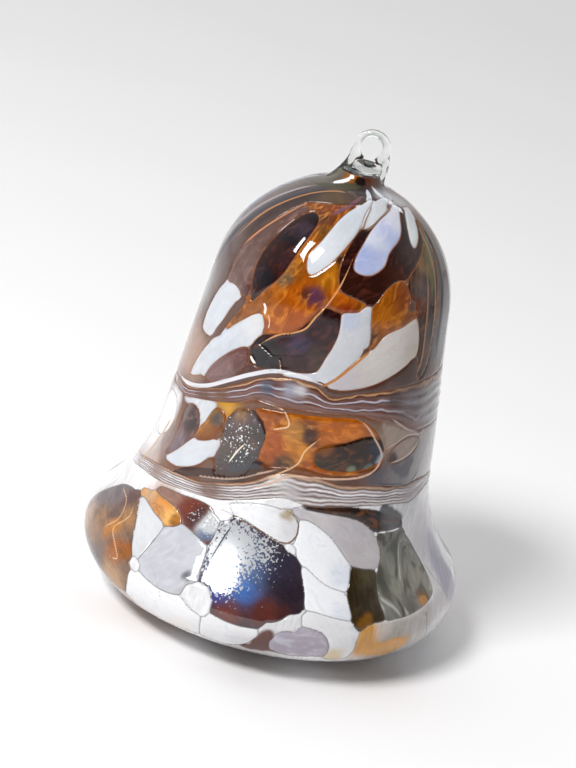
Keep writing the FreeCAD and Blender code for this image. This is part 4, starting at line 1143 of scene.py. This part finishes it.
# Stripes of the bands: (share of the way up, colour).
UPPER_STRIPES = [
    (0.0, (150, 128, 124)), (0.07, (110, 70, 60)), (0.2, (126, 90, 82)), (0.3, (90, 58, 52)),
    (0.35, (188, 182, 194)), (0.4, (110, 76, 70)), (0.54, (124, 90, 84)), (0.6, (78, 46, 40)),
    (0.66, (206, 206, 220)), (0.71, (118, 82, 74)), (0.8, (94, 54, 44)), (0.88, (82, 44, 34)),
    (0.93, (196, 154, 116)), (1.0, (110, 70, 50))]
LOWER_STRIPES = [
    (0.0, (120, 88, 78)), (0.08, (214, 210, 210)), (0.16, (98, 70, 60)), (0.24, (228, 226, 228)),
    (0.32, (112, 88, 82)), (0.4, (204, 200, 203)), (0.47, (74, 48, 38)), (0.55, (240, 238, 240)),
    (0.64, (118, 94, 86)), (0.72, (222, 219, 222)), (0.8, (96, 68, 56)), (0.9, (190, 160, 138)),
    (1.0, (96, 60, 42))]

# Each slot's glass: how streaked and how mottled it is, and what else sets it apart.
GLASS = {slot: coloured_glass(slot, streak, mottle, **rest) for slot, streak, mottle, rest in (
    ("ground_glass", 0.05, 0.08, {"seam_share": 0.35}),
    ("white_glass", 0.02, 0.03, {"seam_share": 0.5, "tint": (204, 208, 218), "tint_share": 0.45}),
    ("cream_glass", 0.03, 0.04, {"tint": (190, 176, 168), "tint_share": 0.5}),
    ("lilac_glass", 0.03, 0.05, {"seam_share": 0.5, "tint": (200, 200, 208), "tint_share": 0.5}),
    ("amber_glass", 0.08, 0.24, {"tint": (190, 122, 40), "tint_share": 0.55}),
    ("oxblood_glass", 0.1, 0.25, {"tint": (86, 42, 36), "tint_share": 0.4}),
    ("mauve_glass", 0.14, 0.12, {"tint": (134, 104, 98), "tint_share": 0.4}),
    ("umber_glass", 0.16, 0.2, {"tint": (118, 68, 28), "tint_share": 0.5}),
    ("smoke_glass", 0.1, 0.2, {"tint": (60, 52, 46), "tint_share": 0.4}),
    ("lustre_glass", 0.08, 0.1, {"lustre": True}),
)}
CHIP_MATERIALS = {
    "smoke_middle": coloured_glass("smoke_lustre", 0.15, 0.25, lustre=True),
    "clear_window": coloured_glass("window_glass", 0.08, 0.1, painted_see_through=True),
}
BAND_MATERIALS = {
    band + "_band": coloured_glass(band + "s", 0.12, 0.1, seam_share=0.3, stripes=stripes)
    for band, stripes in (("upper_thread", UPPER_STRIPES), ("lower_thread", LOWER_STRIPES))
}
CLEAR = clear_glass("clear_glass", (232, 238, 232))


# ---------------------------------------------------------------- the pieces of skin

# Radius at which a band's grain is laid out, and how far apart two pieces' grain lies.
BAND_RADIUS = 28
GRAIN_APART = 7.3
# Degrees from the front beyond which the turned glass shows, and how soft that edge is.
EDGE_OF_SIGHT, EDGE_SOFTNESS = 86, 10
# The heights up the wall over which the depths of the kinds of glass set in.
DEEP_FROM, DEEP_OVER = 66, 8


def flow_of(owner, rows):
    """Places along and across the way that a piece's glass was pulled, in millimetres."""
    if owner in CHIP_OUTLINES:
        outline = CHIP_OUTLINES[owner]
        flat = outline.flat(turn[rows], climb[rows])
        along = outline.along
        return np.column_stack([flat @ along, flat @ [-along[1], along[0]]])
    radians = np.radians(turn[rows])
    if owner in BANDS:
        return np.column_stack([radians * BAND_RADIUS, climb[rows]])
    twist = np.clip(climb[rows] - 60, 0, 60) * 0.5 * (0.5 + 0.5 * np.cos(radians))
    sideways = radians * wall_radius(climb[rows]) - twist
    return np.column_stack([climb[rows], sideways])


def spots_of(owner, table):
    """A piece's spots of tint or lustre. A turned chip has its front twin's."""
    for names in BACK_CHIPS.values():
        if owner in names:
            return turned_spots(table.get(names[owner], []), BACK_TURN)
    return table.get(owner, [])


def kind_of(owner):
    """A chip's slot and own colour."""
    return KINDS[owner.split("_")[0]]


def base_of(owner):
    """A piece's own colour, before it is tinted."""
    return BASES.get(owner) or kind_of(owner)[1]


def laid_in(colour, rows, corners, softness, strength, glass):
    """Lay soft-edged glass, given by its colour and its spots, over the colours within an
    outline."""
    outline = Outline(corners)
    flat = outline.flat(drifted_turn[rows], drifted_climb[rows])
    near = np.flatnonzero(outline.near(flat) & (strength > 0))
    reach = outline.reach(flat[near])[0]
    share = (np.clip(0.5 - reach / softness, 0, 1) * strength[near])[:, None]
    paint = tinted(drifted_turn[rows[near]], drifted_climb[rows[near]], *glass)
    colour[near] = colour[near] * (1 - share) + paint * share


def paint_of(owner, rows):
    """A piece's own colour at some of the grid's points."""
    colour = tinted(drifted_turn[rows], drifted_climb[rows], base_of(owner), spots_of(owner, TONES_AND_PAINTED_LIGHT))
    for ground, paint, softness, corners in VEILS:
        if ground == owner:
            laid_in(colour, rows, corners, softness, np.ones(len(rows)), (paint, []))
    past_edge = np.abs(turn[rows]) - EDGE_OF_SIGHT + fields(place[rows], SIGHT_WANDER)
    out_of_sight = np.clip(past_edge / EDGE_SOFTNESS, 0, 1)
    for chip, turned, corners in TURNED_VEILS.get(owner, []):
        spots = turned_spots(TONES_AND_PAINTED_LIGHT.get(chip, []), turned)
        laid_in(colour, rows, corners, 0.5, out_of_sight, (base_of(chip), spots))
    depth = DEPTHS.get(owner) or DEPTHS.get(owner.split("_")[0], 1)
    high = np.clip((climb[rows] - DEEP_FROM) / DEEP_OVER, 0, 1)[:, None]
    return colour * (1 - high * (1 - depth))


def add_values(mesh, name, kind, values):
    """Values carried by a mesh's points."""
    attribute = mesh.attributes.new(name, kind, "POINT")
    key = {"FLOAT": "value", "FLOAT_VECTOR": "vector", "FLOAT_COLOR": "color"}[kind]
    attribute.data.foreach_set(key, np.ascontiguousarray(values, np.float32).ravel())


def shell(owner, index):
    """A closed shell of the grid's triangles that one piece of glass owns, as a mesh, and the
    grid's points that its outer face uses."""
    rows, faces = np.unique(triangles[triangle_owner == index], return_inverse=True)
    faces = faces.reshape(-1, 3)
    count = len(rows)
    edges = np.concatenate([faces[:, [0, 1]], faces[:, [1, 2]], faces[:, [2, 0]]])
    rim = edges[~np.isin(edges[:, 0] * count + edges[:, 1], edges[:, 1] * count + edges[:, 0])]
    start, end = rim.T
    walls = np.concatenate([np.column_stack([end, start, start + count]),
                            np.column_stack([end, start + count, end + count])])
    corners = np.concatenate([faces, faces[:, ::-1] + count, walls])
    points = np.concatenate([outer[rows], inner[rows]])

    mesh = bpy.data.meshes.new(owner)
    mesh.vertices.add(len(points))
    mesh.vertices.foreach_set("co", points.astype(np.float32).ravel())
    mesh.loops.add(corners.size)
    mesh.loops.foreach_set("vertex_index", corners.astype(np.int32).ravel())
    mesh.polygons.add(len(corners))
    mesh.polygons.foreach_set("loop_start", np.arange(0, corners.size, 3, dtype=np.int32))
    mesh.update(calc_edges=True)
    sharp = np.zeros(len(corners), bool)
    sharp[2 * len(faces):] = True
    mesh.attributes.new("sharp_face", "BOOLEAN", "FACE").data.foreach_set("value", sharp)
    return mesh, rows


def seam_paint(rows):
    """The colour of the seams: brown above the flare, and grey on it."""
    on_flare = np.clip(band_edge("lower_thread_band", "bottom", turn[rows]) + 1 - climb[rows], 0, 1)
    return linear(SEAM_BROWN) + on_flare[:, None] * (linear(SEAM_GREY) - linear(SEAM_BROWN))


def skin_piece(owner, index):
    """One piece of the skin, with the values that its glass is shaded by."""
    mesh, rows = shell(owner, index)
    both = np.concatenate([rows, rows])
    count = len(both)
    colours = {"paint": np.tile(paint_of(owner, rows), (2, 1)),
               "seam_paint": seam_paint(both),
               "thread_and_glint_paint": thread_and_glint_colour[both]}
    flow = np.column_stack([flow_of(owner, both), np.full(count, GRAIN_APART * index)])
    lustre = np.zeros(count)
    for *spot, strength in spots_of(owner, LUSTRE):
        lustre = np.maximum(lustre, strength * nearness(turn[both], climb[both], *spot))
    values = {"seam": seam[both], "thread": thread_and_glint_gap[both], "lustre": lustre}
    if owner in BANDS:
        spots = sum(nearness(turn[both], climb[both], *spot) for *spot, _ in TONES_AND_PAINTED_LIGHT[owner])
        values["across"] = band_share(owner)[both]
        values["veil"] = np.clip(spots, 0, 0.85)
    add_values(mesh, "flow", "FLOAT_VECTOR", flow)
    for name, colour in colours.items():
        add_values(mesh, name, "FLOAT_COLOR", np.hstack([colour, np.ones((count, 1))]))
    for name, value in values.items():
        add_values(mesh, name, "FLOAT", value)

    piece = bpy.data.objects.new(owner + "_glass", mesh)
    bpy.context.scene.collection.objects.link(piece)
    if owner in GROUNDS:
        node, slot, material = owner, "ground_glass", GLASS["ground_glass"]
    elif owner in BANDS:
        node, slot, material = owner, "thread_glass", BAND_MATERIALS[owner]
    else:
        node, slot = "chip_" + owner, kind_of(owner)[0]
        twin = owner.replace("_back", "")
        material = CHIP_MATERIALS.get(twin, GLASS[slot])
    mesh.materials.append(material)
    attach(piece, "root")
    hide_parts(node)


for index, owner in enumerate(OWNERS):
    skin_piece(owner, index)


# ---------------------------------------------------------------- bubble and loop

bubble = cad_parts["clear_bubble"]
bubble.data.materials.clear()
bubble.data.materials.append(CLEAR)


def tube(centres, radii, flatten=1.0, sides=20):
    """A round rod through some places, in millimetres, as points and faces."""
    centres, radii = np.array(centres, float), np.array(radii, float)
    ring = np.linspace(0, 2 * math.pi, sides, endpoint=False)
    points, faces = [], []
    tangents = np.gradient(centres, axis=0)
    for centre, radius, tangent in zip(centres, radii, tangents):
        tangent = tangent / np.linalg.norm(tangent)
        across = np.cross(tangent, (0, 1, 0))
        across = across / np.linalg.norm(across)
        deep = np.cross(tangent, across)
        points += list(centre + radius * (np.outer(np.cos(ring), across)
                                          + flatten * np.outer(np.sin(ring), deep)))
    for row in range(len(centres) - 1):
        for side in range(sides):
            ahead = (side + 1) % sides
            faces.append((row * sides + side, row * sides + ahead,
                          (row + 1) * sides + ahead, (row + 1) * sides + side))
    faces.append(tuple(range(sides))[::-1])
    faces.append(tuple(range((len(centres) - 1) * sides, len(centres) * sides)))
    return points, faces


def bent(places):
    """A smooth line through places that each hold a centre and a radius."""
    across, depth, height, radius = zip(*places)
    curve = open_curve(list(zip(across, height)))
    share = np.linspace(0, len(places) - 1, len(curve))
    depth = np.interp(share, range(len(places)), depth)
    radius = np.interp(share, range(len(places)), radius)
    return np.column_stack([curve[:, 0], depth, curve[:, 1]]), radius


def loop_rods():
    """The rods of the loop, its legs and its seat, as points and faces in millimetres."""
    _, high = (np.array(corner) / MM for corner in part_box("hanging_loop"))
    seat_low, seat_high = (np.array(corner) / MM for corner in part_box("loop_seat"))
    seat_top, neck = seat_high[2], seat_low[2]
    rod = 0.8
    ring_radius = 3.0
    centre = np.array([(seat_low[0] + seat_high[0]) / 2 + 0.7, high[2] - ring_radius - rod + 0.5])
    left, right = centre[0] - ring_radius, centre[0] + ring_radius
    angles = np.radians(np.linspace(-60, 240, 49))
    ring = [(centre[0] + ring_radius * math.cos(angle), 0, centre[1] + 1.04 * ring_radius * math.sin(angle))
            for angle in angles]
    thickness = rod * (1.05 - 0.12 * np.sin(angles) + 0.08 * np.cos(angles))
    # Each leg's places: (across, deep, high, radius).
    long_foot = [
        (left, 0, centre[1] - 0.4, 0.8), (left - 0.4, 0, seat_top, 1.05), (left - 1.7, 0, neck - 1.0, 1.3),
        (left - 3.8, 0, neck - 3.2, 1.15), (left - 6.4, 0, neck - 5.4, 0.8)]
    inner_foot = [
        (left + 0.5, 0, centre[1] - 1.6, 0.8), (left + 0.3, 0, neck + 0.6, 1.3),
        (left - 0.4, 0, neck - 1.4, 1.6), (left - 1.8, 0, neck - 3.2, 1.4)]
    short_foot = [
        (right, 0, centre[1], 0.82), (right + 0.35, -0.1, seat_top - 0.1, 0.82),
        (right + 0.2, -0.3, neck - 0.8, 0.8), (right + 0.7, -0.2, neck - 2.6, 0.75),
        (right + 2.0, 0, neck - 4.4, 0.6)]
    seat_front = [
        (left + 0.8, -0.5, seat_top - 0.3, 1.15), (centre[0], -1.2, seat_top - 0.75, 1.1),
        (right - 0.4, -0.5, seat_top - 0.5, 1.05)]
    seat_back = [
        (left + 0.6, 1.2, seat_top - 0.6, 1.2), (centre[0], 1.9, seat_top - 0.9, 1.2),
        (right - 0.2, 1.0, seat_top - 0.7, 1.1)]
    seat_heart = [
        (left + 0.4, 0, neck + 0.5, 1.5), (centre[0], 0, neck + 0.25, 2.0), (right - 0.4, 0, neck + 0.4, 1.5)]
    legs = (long_foot, inner_foot, short_foot, seat_front, seat_back, seat_heart)
    points, faces = [], []
    for part_points, part_faces in [tube(ring, thickness, 1.1), *(tube(*bent(leg)) for leg in legs)]:
        faces += [tuple(corner + len(points) for corner in face) for face in part_faces]
        points += part_points
    return points, faces


def hanging_loop():
    """The loop, its legs and its seat, melted into one piece of clear glass."""
    points, faces = loop_rods()
    mesh = bpy.data.meshes.new("loop_rods")
    mesh.from_pydata([tuple(np.array(point) * MM) for point in points], [], faces)
    rods = bpy.data.objects.new("loop_rods", mesh)
    bpy.context.scene.collection.objects.link(rods)
    melt = rods.modifiers.new("melt", "REMESH")
    melt.mode = "VOXEL"
    melt.voxel_size = 0.14 * MM
    soften = rods.modifiers.new("soften", "SMOOTH")
    soften.factor = 0.5
    soften.iterations = 14
    melted = bpy.data.meshes.new_from_object(
        rods.evaluated_get(bpy.context.evaluated_depsgraph_get()))
    bpy.data.objects.remove(rods)
    melted.name = "hanging_loop"
    melted.polygons.foreach_set("use_smooth", [True] * len(melted.polygons))
    melted.materials.clear()
    melted.materials.append(CLEAR)
    piece = bpy.data.objects.new("hanging_loop_glass", melted)
    bpy.context.scene.collection.objects.link(piece)
    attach(piece, "root")
    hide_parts("hanging_loop", "loop_seat")


hanging_loop()


# ---------------------------------------------------------------- floor, light and camera


def floor():
    """A pale floor with a very faint grain."""
    nodes = Nodes("floor")
    grain = nodes.add("TexNoise", i0=nodes.add("TexCoord").outputs["Object"], Scale=9.0, Detail=2.0)
    colour = nodes.mixed(grain.outputs["Fac"], rgb((242, 241, 241)), rgb((246, 245, 245)))
    nodes.surface(Base_Color=colour, Roughness=0.8, Specular_IOR_Level=0.15)
    mesh = bpy.data.meshes.new("floor")
    reach = 6
    mesh.from_pydata([(-reach, -reach, 0), (reach, -reach, 0), (reach, reach, 0), (-reach, reach, 0)],
                     [], [(0, 1, 2, 3)])
    mesh.materials.append(nodes.material)
    board = bpy.data.objects.new("floor", mesh)
    bpy.context.scene.collection.objects.link(board)


def soft_light(name, toward, distance, width, height, power, glints=True):
    """A soft rectangle of light that faces the bell, and may be seen in its gloss."""
    lamp = bpy.data.lights.new(name, "AREA")
    lamp.shape = "RECTANGLE"
    lamp.size, lamp.size_y = width, height
    lamp.energy = power
    holder = bpy.data.objects.new(name, lamp)
    aim = Vector((0, 0, 0.06))
    way = Vector(toward).normalized()
    holder.location = aim + way * distance
    holder.rotation_euler = way.to_track_quat("Z", "Y").to_euler()
    holder.visible_glossy = glints
    bpy.context.scene.collection.objects.link(holder)


def surroundings():
    """A pale room, far dimmer on the side that the bell faces."""
    room_light = 0.6
    world = bpy.data.worlds.new("room")
    bpy.context.scene.world = world
    world.use_nodes = True
    tree = world.node_tree
    background = tree.nodes["Background"]
    place = tree.nodes.new("ShaderNodeTexCoord")
    facing = tree.nodes.new("ShaderNodeVectorMath")
    facing.operation = "DOT_PRODUCT"
    facing.inputs[1].default_value = (0.1, -0.94, 0.33)
    dim = tree.nodes.new("ShaderNodeMapRange")
    dim.interpolation_type = "SMOOTHSTEP"
    for socket, value in zip(dim.inputs[1:5], (-0.1, 0.8, room_light, room_light * 0.06)):
        socket.default_value = value
    tree.links.new(place.outputs["Generated"], facing.inputs[0])
    tree.links.new(facing.outputs["Value"], dim.inputs[0])
    tree.links.new(dim.outputs[0], background.inputs["Strength"])
    background.inputs["Color"].default_value = (0.975, 0.98, 1, 1)


def camera():
    """The camera looks down at the bell's front, and leans so that the bell does."""
    down, lean = math.radians(20), math.radians(13.16)
    distance, middle = 0.42, Vector((0, 0, 0.047))
    forward = Vector((0, math.cos(down), -math.sin(down)))
    right, up = Vector((1, 0, 0)), Vector((0, math.sin(down), math.cos(down)))
    across = math.cos(lean) * right + math.sin(lean) * up
    upward = -math.sin(lean) * right + math.cos(lean) * up
    aim = middle - 4.0 * MM * across + 1.74 * MM * upward
    lens = bpy.data.cameras.new("camera")
    lens.lens = 95.49
    lens.clip_start = 0.01
    eye = bpy.data.objects.new("camera", lens)
    eye.matrix_world = Matrix.Translation(aim - forward * distance) @ Matrix(
        (across, upward, -forward)).transposed().to_4x4()
    bpy.context.scene.collection.objects.link(eye)
    bpy.context.scene.camera = eye


floor()
surroundings()
soft_light("window", (-0.46, -0.49, 0.725), 0.9, 0.3, 0.22, 7.2)
soft_light("ceiling", (-0.25, 0.75, 1), 1.7, 2.4, 2.4, 12.6, glints=False)
soft_light("fill", (0.15, -1, 0.3), 1.4, 1.1, 1.1, 1.8, glints=False)
camera()
bpy.context.scene.view_settings.view_transform = "Standard"
